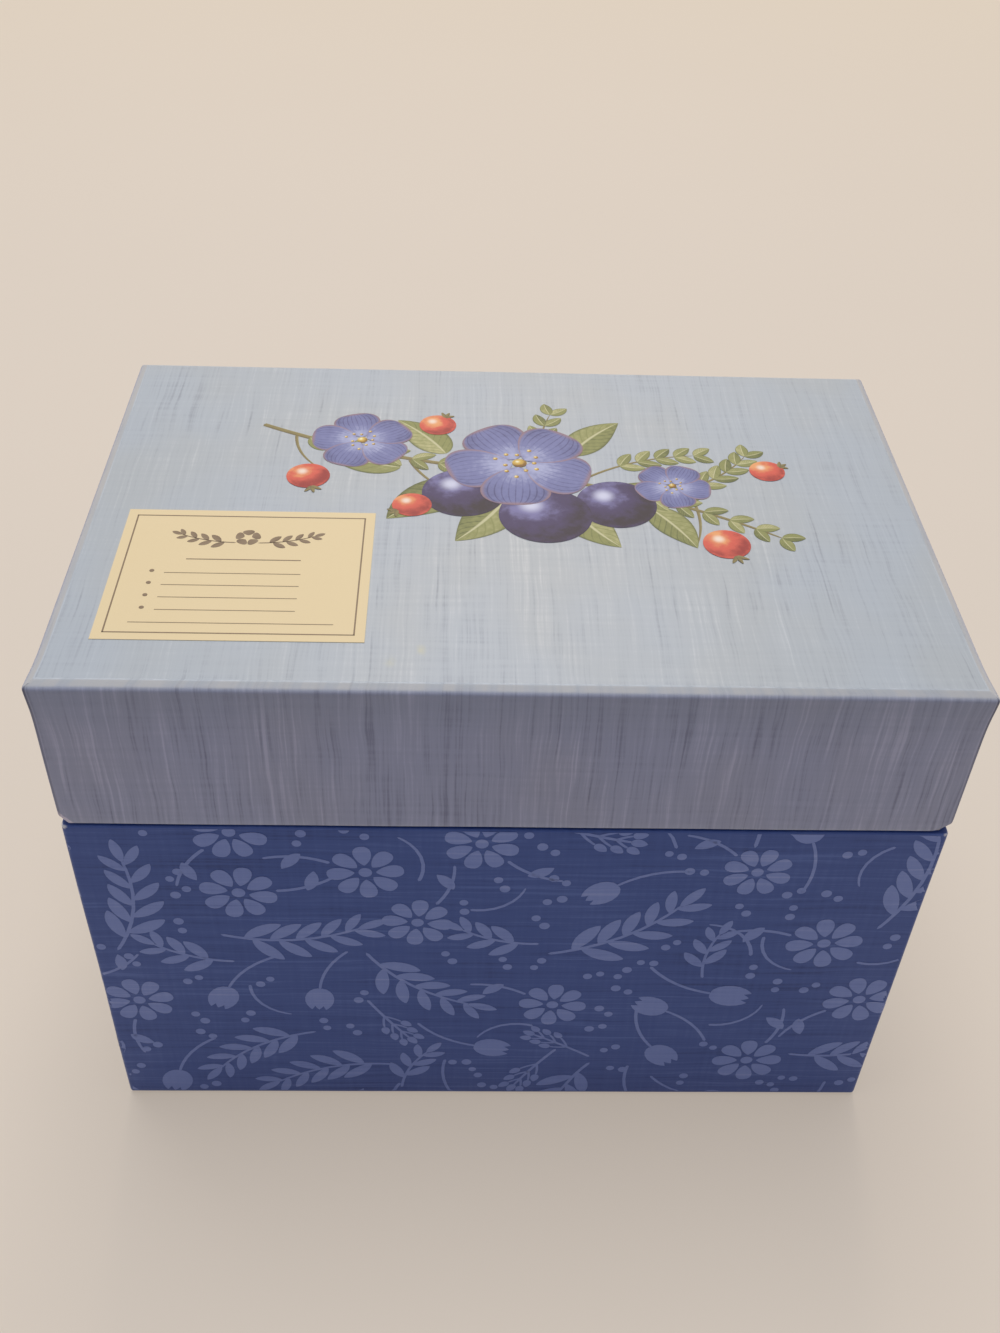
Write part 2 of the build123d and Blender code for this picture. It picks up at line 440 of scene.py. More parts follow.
class EffectWiring(Wiring):
    """Wiring of one shader group that several materials share."""

    def __init__(self, name: str, inputs: dict[str, float | None]) -> None:
        """Starts the group.

        Args:
            name: The group's name.
            inputs: Plain value of each number that goes in, by name, or None where a vector goes in.
        """
        super().__init__(bpy.data.node_groups.new(name, "ShaderNodeTree"))
        for key, value in inputs.items():
            kind = "NodeSocketVector" if value is None else "NodeSocketFloat"
            socket = self.tree.interface.new_socket(name=key, in_out="INPUT", socket_type=kind)
            if value is not None:
                socket.default_value = value
        self.given = self.node("NodeGroupInput").outputs

    def finished(self, outputs: Outputs) -> bpy.types.NodeTree:
        """Gives the group its outputs.

        Args:
            outputs: What comes out, by name.

        Returns:
            The finished group.
        """
        for key in outputs:
            self.tree.interface.new_socket(name=key, in_out="OUTPUT", socket_type="NodeSocketFloat")
        self.node("NodeGroupOutput", outputs)
        return self.tree


@dataclass(frozen=True)
class ThreadLook:
    """How strongly the printed threads, the weft, and the light and dark slubs show."""

    contrast: float = 1.0
    weft: float = 0.1
    light: float = 0.33
    dark: float = 0.1

    def feeds(self) -> dict[str, float]:
        """The weave's inputs by name."""
        return {name.title(): value for name, value in asdict(self).items()}


@cache
def slub_weave() -> bpy.types.NodeTree:
    """Printed look of uneven woven threads; Sheet runs across the threads in X and along them in Y.

    Long thin noise gives the threads. A coarser one gives light slubs where it is high, and short dark
    ones where it is low. A crosswise one gives the weft, and a broad one gives soft patches. The tone
    is a half, plus the weighted sum of these times the contrast.

    Returns:
        The group, built once.
    """
    wires = EffectWiring("slub_weave", {"Sheet": None, **ThreadLook().feeds()})
    given = wires.given
    drift = wires.centred(wires.noise(given["Sheet"], (70, 48, 1)))
    sheet = wires.vector("ADD", given["Sheet"], wires.point(wires.product(drift, 1.6 * MM)))
    threads = wires.noise(sheet, (1900, 38, 1), 2.0, 0.6)
    slubs = wires.noise(sheet, (1050, 21, 1), 1.5)
    long_threads = wires.noise(sheet, (600, 9, 1), 1.5)
    weft = wires.noise(sheet, (48, 850, 1))
    breaks = wires.noise(sheet, (90, 55, 1))
    patches = wires.noise(sheet, (30, 24, 1))
    patchy = wires.remap(patches, 0.35, 0.65, 0.3, 1.3)
    uneven = wires.total(
        (wires.centred(threads), 1.0),
        (wires.centred(long_threads), 0.6),
        (wires.centred(patches), 0.4),
        (wires.product(wires.remap(slubs, 0.54, 0.74), patchy, given["Light"]), 1.0),
        (wires.product(wires.remap(slubs, 0.42, 0.26), wires.remap(breaks, 0.42, 0.6), given["Dark"]), -1.0),
        (wires.product(wires.centred(weft), given["Weft"]), 4.0),
    )
    return wires.finished(
        {
            "Tone": wires.math("MULTIPLY_ADD", uneven, given["Contrast"], 0.5),
            "Relief": wires.total((threads, 0.4), (slubs, 0.4), (weft, 0.2)),
            "Patch": wires.remap(patches, 0.35, 0.68),
        }
    )


@cache
def paper_fibre() -> bpy.types.NodeTree:
    """Fine grain and cloudiness of unprinted paper or board.

    Returns:
        The group, built once.
    """
    wires = EffectWiring("paper_fibre", {"Place": None, "Grain": 1.0})
    grain = wires.noise(wires.given["Place"], (2600, 2600, 2600), 3.0, 0.6)
    clouds = wires.noise(wires.given["Place"], (60, 60, 60), 3.0)
    uneven = wires.total((wires.centred(grain), 0.9), (wires.centred(clouds), 0.8))
    tone = wires.math("MULTIPLY_ADD", uneven, wires.given["Grain"], 0.5)
    return wires.finished({"Tone": tone, "Relief": grain})


@cache
def rubbed_edge() -> bpy.types.NodeTree:
    """Mask of paper rubbed off along edges: a mark of 0 to 1 whose border is broken up by noise.

    Returns:
        The group, built once.
    """
    wires = EffectWiring("rubbed_edge", {"Mark": 0.0, "Place": None, "Amount": 0.5})
    given = wires.given
    speckle = wires.noise(given["Place"], (900, 900, 900), 4.0, 0.65)
    drift = wires.noise(given["Place"], (70, 70, 70))
    broken = wires.total((speckle, 0.8), (drift, 0.9), (1.0, -0.85))
    level = wires.total((given["Mark"], 1.0), (broken, 0.55), (given["Amount"], 1.0), (1.0, -1.0))
    return wires.finished({"Mask": wires.remap(level, 0.0, 0.22)})


@cache
def moulded_marks() -> bpy.types.NodeTree:
    """Faint flow marks and fine scuffs of moulded plastic.

    Returns:
        The group, built once.
    """
    wires = EffectWiring("moulded_marks", {"Place": None})
    flow = wires.noise(wires.given["Place"], (40, 260, 260))
    scuffs = wires.noise(wires.given["Place"], (300, 2400, 2400), 3.0, 0.65)
    return wires.finished({"Flow": flow, "Scuffs": scuffs})


# Finishes


class Paper(ABC):
    """A paper: its surface is wired first, and then its print is laid on the surface's colour."""

    @abstractmethod
    def surface(self) -> tuple[SurfaceWiring, Socket]:
        """The wiring, and its colour before anything is printed on it."""

    def printed(self, wires: SurfaceWiring, colour: Socket) -> Socket:
        """The colour with its print, which a plain paper lacks."""
        return colour

    def material(self) -> Material:
        """Wires the surface and its print."""
        wires, colour = self.surface()
        return wires.painted(self.printed(wires, colour))


class Threads(Enum):
    """Which way the printed threads run on a sheet's map."""

    UP = "along its second coordinate"
    ACROSS = "along its first coordinate"


@dataclass(frozen=True)
class WovenPaper(Paper):
    """Satin paper with a printed woven look, rubbed to its pale core along worn edges."""

    name: str
    shades: Shades
    threads: Threads
    look: ThreadLook = ThreadLook()
    rough: float = 0.4
    satin: float = 0.07
    depth: float = 0.02 * MM
    rubbing: float = 0.0
    core: Colour = srgb(238, 231, 220)
    tint: Colour | None = None
    tint_share: float = 0.45

    def sheet(self, wires: Wiring) -> Socket:
        """The map, turned where needed to have the threads along its second coordinate."""
        across, along = wires.split(wires.sheet())
        return wires.point(across, along) if self.threads is Threads.UP else wires.point(along, across)

    def thread_feeds(self, wires: Wiring) -> Feeds:
        """The weave's inputs for this paper's threads."""
        return self.look.feeds()

    def surface(self) -> tuple[SurfaceWiring, Socket]:
        """Wires the threads, their warm patches and the rubbed edges.

        Returns:
            The wiring, and its colour before anything is printed on it.
        """
        wires = SurfaceWiring(self.name, self.rough)
        weave = wires.group(slub_weave(), {"Sheet": self.sheet(wires), **self.thread_feeds(wires)})
        colour = wires.tones(weave["Tone"], self.shades)
        if self.tint:
            colour = wires.mix(wires.product(weave["Patch"], self.tint_share), colour, self.tint, "MULTIPLY")
        if self.rubbing:
            feeds = {"Mark": wires.mark("wear"), "Place": wires.place(), "Amount": self.rubbing}
            colour = wires.mix(wires.group(rubbed_edge(), feeds)["Mask"], colour, self.core)
        wires.roughen(wires.remap(weave["Tone"], 0.0, 1.0, self.rough + self.satin, self.rough - self.satin))
        wires.relief(weave["Relief"], self.depth, 0.5)
        return wires, colour


@dataclass(frozen=True)
class LidPaper(WovenPaper):
    """The lid's paper: painted light and shade along its fold, walls and rim, with two old stains on top.

    On the fold's upper bend, a pale line is partly a painted highlight and partly rubbed ink. The fold's
    facet is painted a pale colour as painted light, and painted shade lies below the fold. The walls get a
    darker tint as painted shade, the side flaps' cut edges a painted shadow, and the rim a painted
    highlight. Places are told apart by their reach, the distance down the paper from the flat top.
    """

    wall_look: ThreadLook = ThreadLook(contrast=1.25, weft=0.07)
    # Painted shade: multiplied over the walls, this tint makes them a little darker and bluer than the top.
    wall_tint: Colour = srgb(245, 238, 255)
    wall_start: Span = (0.5 * MM, 3 * MM)
    # Pale line on the fold's upper bend: partly a painted highlight, partly rubbed ink.
    bend_rise: Span = (0.01 * MM, 0.1 * MM)
    bend_fall: Span = (0.3 * MM, 0.55 * MM)
    # Painted light: the fold's slanted facet is painted a pale warm colour for the way light falls on it.
    facet_rise: Span = (0.2 * MM, 0.6 * MM)
    facet_fall: Span = (1.5 * MM, 2.2 * MM)
    facet_colour: Colour = srgb(196, 193, 185)
    shade_rise: Span = (2.1 * MM, 2.9 * MM)
    shade_fall: Span = (2.5 * MM, 16.5 * MM)
    shade: float = 0.34
    # Painted shadow: a dark line along the side flaps' cut edges, strongest near the fold.
    seam_colour: Colour = srgb(58, 56, 78)
    seam_share: float = 0.8
    stains: tuple[Span, ...] = ((-23.5 * MM, -51.5 * MM), (-18.0 * MM, -48.0 * MM))
    stain_colour: Colour = srgb(206, 200, 152)
    stain_radius: float = 4.2 * MM
    stain_core: float = 1.8 * MM
    stain_blot: float = 4.5 * MM
    stain_share: float = 0.5
    stain_end: float = 1.5 * MM

    def thread_feeds(self, wires: Wiring) -> Feeds:
        """One look of the threads on the top, and another on the walls."""
        reach, top, wall = wires.mark("reach"), self.look.feeds(), self.wall_look.feeds()
        return {key: wires.remap(reach, *self.wall_start, top[key], wall[key]) for key in top}

    def printed(self, wires: SurfaceWiring, colour: Socket) -> Socket:
        """Lays the walls' painted shade, the fold's pale lines, the painted shade below the fold, the painted
        shadow along the flaps' seams, the painted highlight on the rim, and the stains.

        Args:
            wires: The surface's wiring.
            colour: Its colour.

        Returns:
            The colour with all of these.
        """
        reach = wires.mark("reach")
        streak = wires.noise(wires.sheet(), (420, 60, 1))
        bend = wires.band(reach, self.bend_rise, self.bend_fall)
        facet = wires.band(reach, self.facet_rise, self.facet_fall)
        shade = wires.band(reach, self.shade_rise, self.shade_fall)
        # Painted shade on the walls: a darker, bluer tint than on the top.
        colour = wires.mix(wires.remap(reach, *self.wall_start), colour, self.wall_tint, "MULTIPLY")
        for share, laid in (
            # Pale line on the fold's upper bend: partly a painted highlight, partly rubbed ink.
            (wires.product(bend, wires.remap(streak, 0.35, 0.65, 0.05, 0.5)), self.shades.light),
            # Painted light on the fold's slanted facet.
            (wires.product(facet, wires.remap(streak, 0.3, 0.65, 0.35, 0.85)), self.facet_colour),
            (wires.product(shade, self.shade), self.shades.dark),
            # Painted shadow along the side flaps' cut edges.
            (wires.product(wires.mark("seam"), self.seam_share), self.seam_colour),
            # Painted highlight along the rim's edge.
            (wires.product(wires.mark("rim"), wires.remap(streak, 0.3, 0.6, 0.25, 0.6)), self.shades.light),
        ):
            colour = wires.mix(share, colour, laid)
        flat = wires.vector("MULTIPLY", wires.place(), (1, 1, 0))
        blot = wires.product(wires.noise(wires.place(), (300, 300, 300), 3.0), self.stain_blot)
        on_top = wires.remap(reach, self.stain_end, 0.0)
        for x, y in self.stains:
            away = wires.math("ADD", wires.vector("DISTANCE", flat, (x, y, 0.0)), blot)
            spot = wires.remap(away, self.stain_radius, self.stain_core, 0.0, self.stain_share)
            colour = wires.mix(wires.product(spot, on_top), colour, self.stain_colour)
        return colour


@dataclass(frozen=True)
class PlainPaper(Paper):
    """Unprinted paper, board or tape with fibre and clouds."""

    name: str
    shades: Shades
    grain: float = 0.5
    rough: float = 0.8
    specular: float = 0.25
    depth: float = 0.03 * MM

    def surface(self) -> tuple[SurfaceWiring, Socket]:
        """Wires the fibre on coordinates in the object.

        Returns:
            The wiring, and its colour before anything is printed on it.
        """
        wires = SurfaceWiring(self.name, self.rough, self.specular)
        fibre = wires.group(paper_fibre(), {"Place": wires.place(), "Grain": self.grain})
        wires.relief(fibre["Relief"], self.depth, 0.6)
        return wires, wires.tones(fibre["Tone"], self.shades)


@dataclass(frozen=True)
class RuledCard(PlainPaper):
    """Card with printed lines: one head line, and rules spaced evenly below it.

    Its map gives the distance from the left edge and from the bottom. Each line's span runs from its
    blurred edge to its full ink.
    """

    rule: Colour = srgb(150, 160, 190)
    rule_span: Span = (0.22 * MM, 0.12 * MM)
    head: Colour = srgb(196, 120, 108)
    head_span: Span = (0.35 * MM, 0.25 * MM)
    head_height: float = 84 * MM
    spacing: float = 7.5 * MM
    first: float = 12 * MM
    last: float = 79 * MM
    margin: float = 9 * MM

    def printed(self, wires: SurfaceWiring, colour: Socket) -> Socket:
        """Lays the rules and the head line on the card's front.

        Args:
            wires: The surface's wiring.
            colour: Its colour.

        Returns:
            The colour with the lines.
        """
        across, up = wires.split(wires.sheet())
        face = wires.mark("face")
        step = wires.math("PINGPONG", wires.math("SUBTRACT", up, self.first), self.spacing / 2)
        rules = wires.product(
            wires.remap(step, *self.rule_span),
            wires.math("GREATER_THAN", up, self.first - MM),
            wires.math("LESS_THAN", up, self.last),
            wires.math("GREATER_THAN", across, self.margin),
            face,
        )
        head = wires.product(wires.remap(wires.gap(up, self.head_height), *self.head_span), face)
        return wires.mix(head, wires.mix(rules, colour, self.rule), self.head)


@dataclass(frozen=True)
class DividerFrame:
    """Sizes of the dividers' print: a label on the tab, with an outline, and a frame on the card."""

    tab_height: float = 108.2 * MM
    label_half: Span = (16.5 * MM, 3.6 * MM)
    frame_middle: Span = (76.2 * MM, 50.8 * MM)
    frame_half: Span = (69.5 * MM, 44.0 * MM)
    line_half: float = 0.22 * MM

    def past_edge(self, wires: EffectWiring, middle: Sequence[Feed], half: Span) -> Socket:
        """How far a place of the map lies outside a rectangle; inside, the value is below zero."""
        apart = map(wires.gap, wires.split(wires.given["Sheet"]), middle)
        return wires.math("MAXIMUM", *map(partial(wires.math, "SUBTRACT"), apart, half))

    @cache
    def group(self) -> bpy.types.NodeTree:
        """Masks of the label and of the lines; the tab's middle goes in.

        Returns:
            The group, built once.
        """
        wires = EffectWiring("divider_frame", {"Sheet": None, "Face": 0.0, "Tab": 0.0, "Ink": 1.0})
        face, thin = wires.given["Face"], 0.5 * self.line_half
        label = self.past_edge(wires, (wires.given["Tab"], self.tab_height), self.label_half)
        border = self.past_edge(wires, self.frame_middle, self.frame_half)
        outline, frame_line = (
            wires.remap(wires.math("ABSOLUTE", edge), self.line_half, thin) for edge in (label, border)
        )
        return wires.finished(
            {
                "Label": wires.product(wires.remap(label, thin, -thin), face),
                "Outline": wires.product(outline, face, wires.given["Ink"]),
                "Frame": wires.product(frame_line, face, wires.given["Ink"]),
            }
        )


@dataclass(frozen=True)
class DividerPaper(PlainPaper):
    """Tinted card with a thin printed frame and a blank pale label on its tab, mapped as a ruled card is."""

    tab_middle: float = 0.0
    frame: DividerFrame = DividerFrame()
    label: Colour = srgb(246, 241, 228)
    line_share: float = 0.8

    def printed(self, wires: SurfaceWiring, colour: Socket) -> Socket:
        """Lays the label, its outline and the frame on the divider's front.

        Args:
            wires: The surface's wiring.
            colour: Its colour.

        Returns:
            The colour with all of these.
        """
        feeds = {"Sheet": wires.sheet(), "Face": wires.mark("face"), "Tab": self.tab_middle}
        masks = wires.group(self.frame.group(), {**feeds, "Ink": self.line_share})
        ink = dimmed(self.shades.dark, 0.5)
        for key, laid in (("Label", self.label), ("Outline", ink), ("Frame", ink)):
            colour = wires.mix(masks[key], colour, laid)
        return colour


class InkKind(Enum):
    """How the paint of one kind of motif runs over its stroke."""

    LEAF = "veined leaf"
    PETAL = "veined petal"
    FRUIT = "round fruit"
    STEM = "twig or line"


class InkWiring(EffectWiring):
    """Wiring of the paint on a stroke, whose Sheet runs along it from 0 to 1 and across it from 0 to 1.

    Each kind of paint puts out its tone, and the shares of dark and accent colour that are laid on it.
    """

    def __init__(self, kind: InkKind) -> None:
        """Starts the group, and adds a soft brush grain.

        Args:
            kind: The kind of paint.
        """
        super().__init__(f"painted_{kind.name.lower()}", {"Sheet": None, "Place": None, "Tone": 0.5})
        self.along, self.across = self.split(self.given["Sheet"])
        self.tone = self.given["Tone"]
        self.brush = self.noise(self.given["Place"], (700, 700, 1), 3.0, 0.6)

    def leaf(self) -> Outputs:
        """One half in light, slanting side veins, a pale midrib and a dark rim.

        Returns:
            What comes out, by name.
        """
        side = self.centred(self.across)
        half = self.math("ABSOLUTE", side)
        slant = self.total((self.along, 1.0), (half, -0.45))
        vein = self.remap(self.math("PINGPONG", slant, 0.055), 0.017, 0.004)
        value = self.total(
            (self.remap(side, -0.1, 0.1), 0.26), (self.tone, 0.42), (self.brush, 0.5),
            (self.along, -0.12), (1.0, -0.02), (vein, -0.17),
        )
        rim, midrib = self.remap(half, 0.4, 0.5, 0.0, 0.7), self.remap(half, 0.05, 0.02, 0.0, 0.75)
        return {"Value": value, "Dark": rim, "Accent": midrib}

    def petal(self) -> Outputs:
        """Pale heart, fine veins that run out to the rim, and a warm rim.

        Returns:
            What comes out, by name.
        """
        half = self.gap(self.across, 0.5)
        vein = self.remap(self.math("PINGPONG", self.across, 0.05), 0.016, 0.004)
        vein = self.product(vein, self.remap(self.along, 0.15, 0.5))
        value = self.total(
            (self.remap(self.along, 0.1, 0.75), -0.42), (self.tone, 0.35), (self.brush, 0.5),
            (1.0, 0.42), (vein, -0.24), (self.remap(half, 0.05, 0.4, 0.06, -0.1), 1.0),
        )
        rim = self.math("MAXIMUM", self.remap(half, 0.42, 0.5), self.remap(self.along, 0.9, 0.99))
        return {"Value": value, "Accent": self.product(rim, 0.65)}

    def fruit(self) -> Outputs:
        """A lit ball: the map gives a point of the disc, and its distance from the light gives the tone.

        Returns:
            What comes out, by name.
        """
        x = self.total((self.along, 2.0), (1.0, -1.0))
        left = self.math("SUBTRACT", 1.0, self.product(x, x))
        room = self.math("SQRT", self.math("MAXIMUM", left, 0.0))
        point = self.point(x, self.product(self.total((self.across, 2.0), (1.0, -1.0)), room))
        away = self.vector("DISTANCE", point, (-0.3, 0.36, 0.0))
        bloom = self.noise(self.given["Place"], (260, 260, 1), 3.0, 0.6)
        value = self.total(
            (self.remap(away, 0.1, 1.25), -0.8), (self.tone, 0.2), (self.brush, 0.3), (1.0, 0.62),
            (self.remap(self.vector("LENGTH", point), 0.8, 0.97, 0.0, 0.14), 1.0),
            (self.remap(bloom, 0.4, 0.7, -0.06, 0.16), 1.0),
        )
        return {"Value": value, "Accent": self.remap(away, 0.36, 0.04, 0.0, 0.8)}

    def stem(self) -> Outputs:
        """A thin line, lit from one side."""
        return {"Value": self.total((self.across, 0.5), (self.tone, 0.3), (self.brush, 0.4), (1.0, -0.1))}


@cache
def painted_stroke(kind: InkKind) -> bpy.types.NodeTree:
    """The group of one kind of paint, built once."""
    wires = InkWiring(kind)
    return wires.finished(dict(zip(InkKind, (wires.leaf, wires.petal, wires.fruit, wires.stem)))[kind]())


@dataclass(frozen=True)
class PaintedInk:
    """Printed painting of one kind of motif: its shades by the paint's tone, then the dark and the accent."""

    name: str
    kind: InkKind
    shades: Shades
    accent: Colour
    rough: float = 0.5

    def material(self) -> Material:
        """Lays the colours on the paint's own tone and shares.

        Returns:
            The finished material.
        """
        wires = SurfaceWiring(self.name, self.rough)
        feeds = {"Sheet": wires.sheet(), "Place": wires.place(), "Tone": wires.mark("tone")}
        paint = wires.group(painted_stroke(self.kind), feeds)
        colour = wires.tones(paint["Value"], self.shades)
        for key, laid in (("Dark", self.shades.dark), ("Accent", self.accent)):
            if key in paint:
                colour = wires.mix(paint[key], colour, laid)
        return wires.painted(colour)


@dataclass(frozen=True)
class GlossPlastic:
    """Moulded plastic with faint flow marks and fine scuffs."""

    name: str
    dark: Colour
    light: Colour
    rough: float = 0.25

    def material(self) -> Material:
        """Wires the marks on coordinates in the object.

        Returns:
            The finished material.
        """
        wires = SurfaceWiring(self.name, self.rough, 0.5)
        marks = wires.group(moulded_marks(), {"Place": wires.place()})
        wires.roughen(wires.remap(marks["Scuffs"], 0.4, 0.75, self.rough - 0.05, self.rough + 0.2))
        wires.relief(marks["Scuffs"], 0.01 * MM, 0.3)
        return wires.painted(wires.mix(marks["Flow"], self.dark, self.light))


@dataclass(frozen=True)
class TurnedMetal:
    """Plated metal with fine turning marks round its axis, which is the pen's length."""

    name: str
    dark: Colour
    light: Colour
    rough: float = 0.28

    def material(self) -> Material:
        """Wires the marks on coordinates in the object.

        Returns:
            The finished material.
        """
        wires = SurfaceWiring(self.name, self.rough, 0.5, 1.0)
        marks = wires.noise(wires.place(), (5200, 40, 40))
        wires.roughen(wires.remap(marks, 0.3, 0.7, self.rough - 0.06, self.rough + 0.1))
        wires.relief(marks, 0.008 * MM, 0.3)
        return wires.painted(wires.mix(marks, self.dark, self.light))


# Stage


@dataclass(frozen=True)
class Lamp:
    """A square lamp that looks at the box."""

    name: str
    power: float
    size: float
    place: Triple
    tint: Colour
    aim: Triple = (0.0, 0.0, 0.1)

    def build(self) -> None:
        """Adds the lamp to the scene."""
        lamp = bpy.data.lights.new(self.name, "AREA")
        lamp.energy = self.power
        lamp.size = self.size
        lamp.color = self.tint[:3]
        holder = bpy.data.objects.new(self.name, lamp)
        holder.location = self.place
        holder.rotation_euler = (Vector(self.place) - Vector(self.aim)).to_track_quat("Z", "Y").to_euler()
        bpy.context.scene.collection.objects.link(holder)


@dataclass(frozen=True)
class Studio:
    """Floor, light and camera: a large lamp above the box, and a weak one behind it for the paper's sheen."""

    floor_colour: Colour = srgb(226, 215, 199)
    floor_half: float = 4.0
    floor_glow: float = 0.5
    floor_fade: Span = (0.35, 1.3)
    backdrop: Colour = srgb(225, 210, 191)
    fill: Colour = srgb(194, 209, 255)
    fill_strength: float = 0.35
    seen_rays: tuple[str, ...] = ("Camera", "Glossy", "Transmission")
    lamps: tuple[Lamp, ...] = (
        Lamp("key", 23.5, 1.1, (-0.1, 0.34, 2.0), srgb(255, 255, 255)),
        Lamp("sheen", 6.0, 0.6, (0.04, 1.2, 1.25), srgb(255, 236, 214)),
    )
    camera_place: Triple = (-0.011627, -0.244431, 0.301795)
    camera_turn: Triple = (48.83, -1.84, -0.96)
    focal: float = 37.09
    sensor: float = 36.0
    near_clip: float = 0.01

    def build(self) -> None:
        """Sets the stage and the camera."""
        self.floor()
        self.world()
        for lamp in self.lamps:
            lamp.build()
        self.camera()
        bpy.context.scene.view_settings.view_transform = "Standard"

    def floor(self) -> None:
        """A plain pale floor under the box, which fades into the backdrop far away."""
        side = np.linspace(-self.floor_half, self.floor_half, 9)
        points = stacked(*np.meshgrid(side, side), 0.0)
        floor = make_piece("floor", [Patch.grid(points, points[..., :2])])
        wires = SurfaceWiring("floor_paint", 0.8, 0.15)
        clouds = wires.noise(wires.place(), (6, 6, 6))
        paint = wires.painted(wires.mix(clouds, self.floor_colour, dimmed(self.floor_colour, 0.96)))
        glow = wires.node("ShaderNodeEmission", {"Color": self.backdrop, "Strength": 1.0})
        fade = wires.remap(wires.vector("LENGTH", wires.place()), *self.floor_fade, self.floor_glow, 1.0)
        share = wires.product(self.seen_directly(wires), fade)
        both = wires.node("ShaderNodeMixShader", {0: share, 1: wires.shader.outputs[0], 2: glow.outputs[0]})
        wires.feed(wires.tree.nodes["Material Output"].inputs["Surface"], both.outputs[0])
        floor.data.materials.append(paint)

    def seen_directly(self, wires: Wiring) -> Socket:
        """One for what the camera, a reflection or a clear material sees, and nothing for other light."""
        path = wires.node("ShaderNodeLightPath").outputs
        return reduce(partial(wires.math, "MAXIMUM"), (path[f"Is {ray} Ray"] for ray in self.seen_rays))

    def world(self) -> None:
        """Soft light from all round, and a pale backdrop for what the camera and reflections see."""
        world = bpy.data.worlds.new("studio")
        bpy.context.scene.world = world
        world.use_nodes = True
        wires = Wiring(world.node_tree)
        wires.tree.nodes.clear()
        light = wires.node("ShaderNodeBackground", {"Color": self.fill, "Strength": self.fill_strength})
        seen = wires.node("ShaderNodeBackground", {"Color": self.backdrop, "Strength": 1.0})
        direct = self.seen_directly(wires)
        both = wires.node("ShaderNodeMixShader", {0: direct, 1: light.outputs[0], 2: seen.outputs[0]})
        wires.node("ShaderNodeOutputWorld", {"Surface": both.outputs[0]})

    def camera(self) -> None:
        """The photograph's camera, fitted to the box's corners."""
        lens = bpy.data.cameras.new("camera")
        lens.lens = self.focal
        lens.sensor_width = self.sensor
        lens.clip_start = self.near_clip
        camera = bpy.data.objects.new("camera", lens)
        camera.location = self.camera_place
        camera.rotation_euler = [math.radians(angle) for angle in self.camera_turn]
        bpy.context.scene.collection.objects.link(camera)
        bpy.context.scene.camera = camera


# Wraps


class Side(Enum):
    """The four walls of the box, by outward direction, in the order in which the wrap goes round."""

    LEFT = (-1.0, 0.0)
    FRONT = (0.0, -1.0)
    RIGHT = (1.0, 0.0)
    BACK = (0.0, 1.0)


@dataclass
class Outline:
    """Outlines of the box at several insets: points (insets, places, 2), and what each place is like.

    A place has an outward direction, a flag for the side flaps, and a distance from the nearest
    upright edge.
    """

    points: Array
    outward: Array
    flap: Array
    edge: Array


@dataclass(frozen=True)
class WornCorner:
    """A front corner of a rim, flattened by knocks.

    The flat spot goes as far as run, depth and rise along the front, the side and the upright edge. It
    bends over soft. Its paper is torn by a share that grows over one tear run, and the growth starts
    tear_lead such runs before the flat spot's plane.
    """

    side: int
    run: float
    depth: float
    rise: float
    soft: float
    torn: float = 0.0
    tear_run: float = 0.9 * MM
    tear_lead: float = 1.5


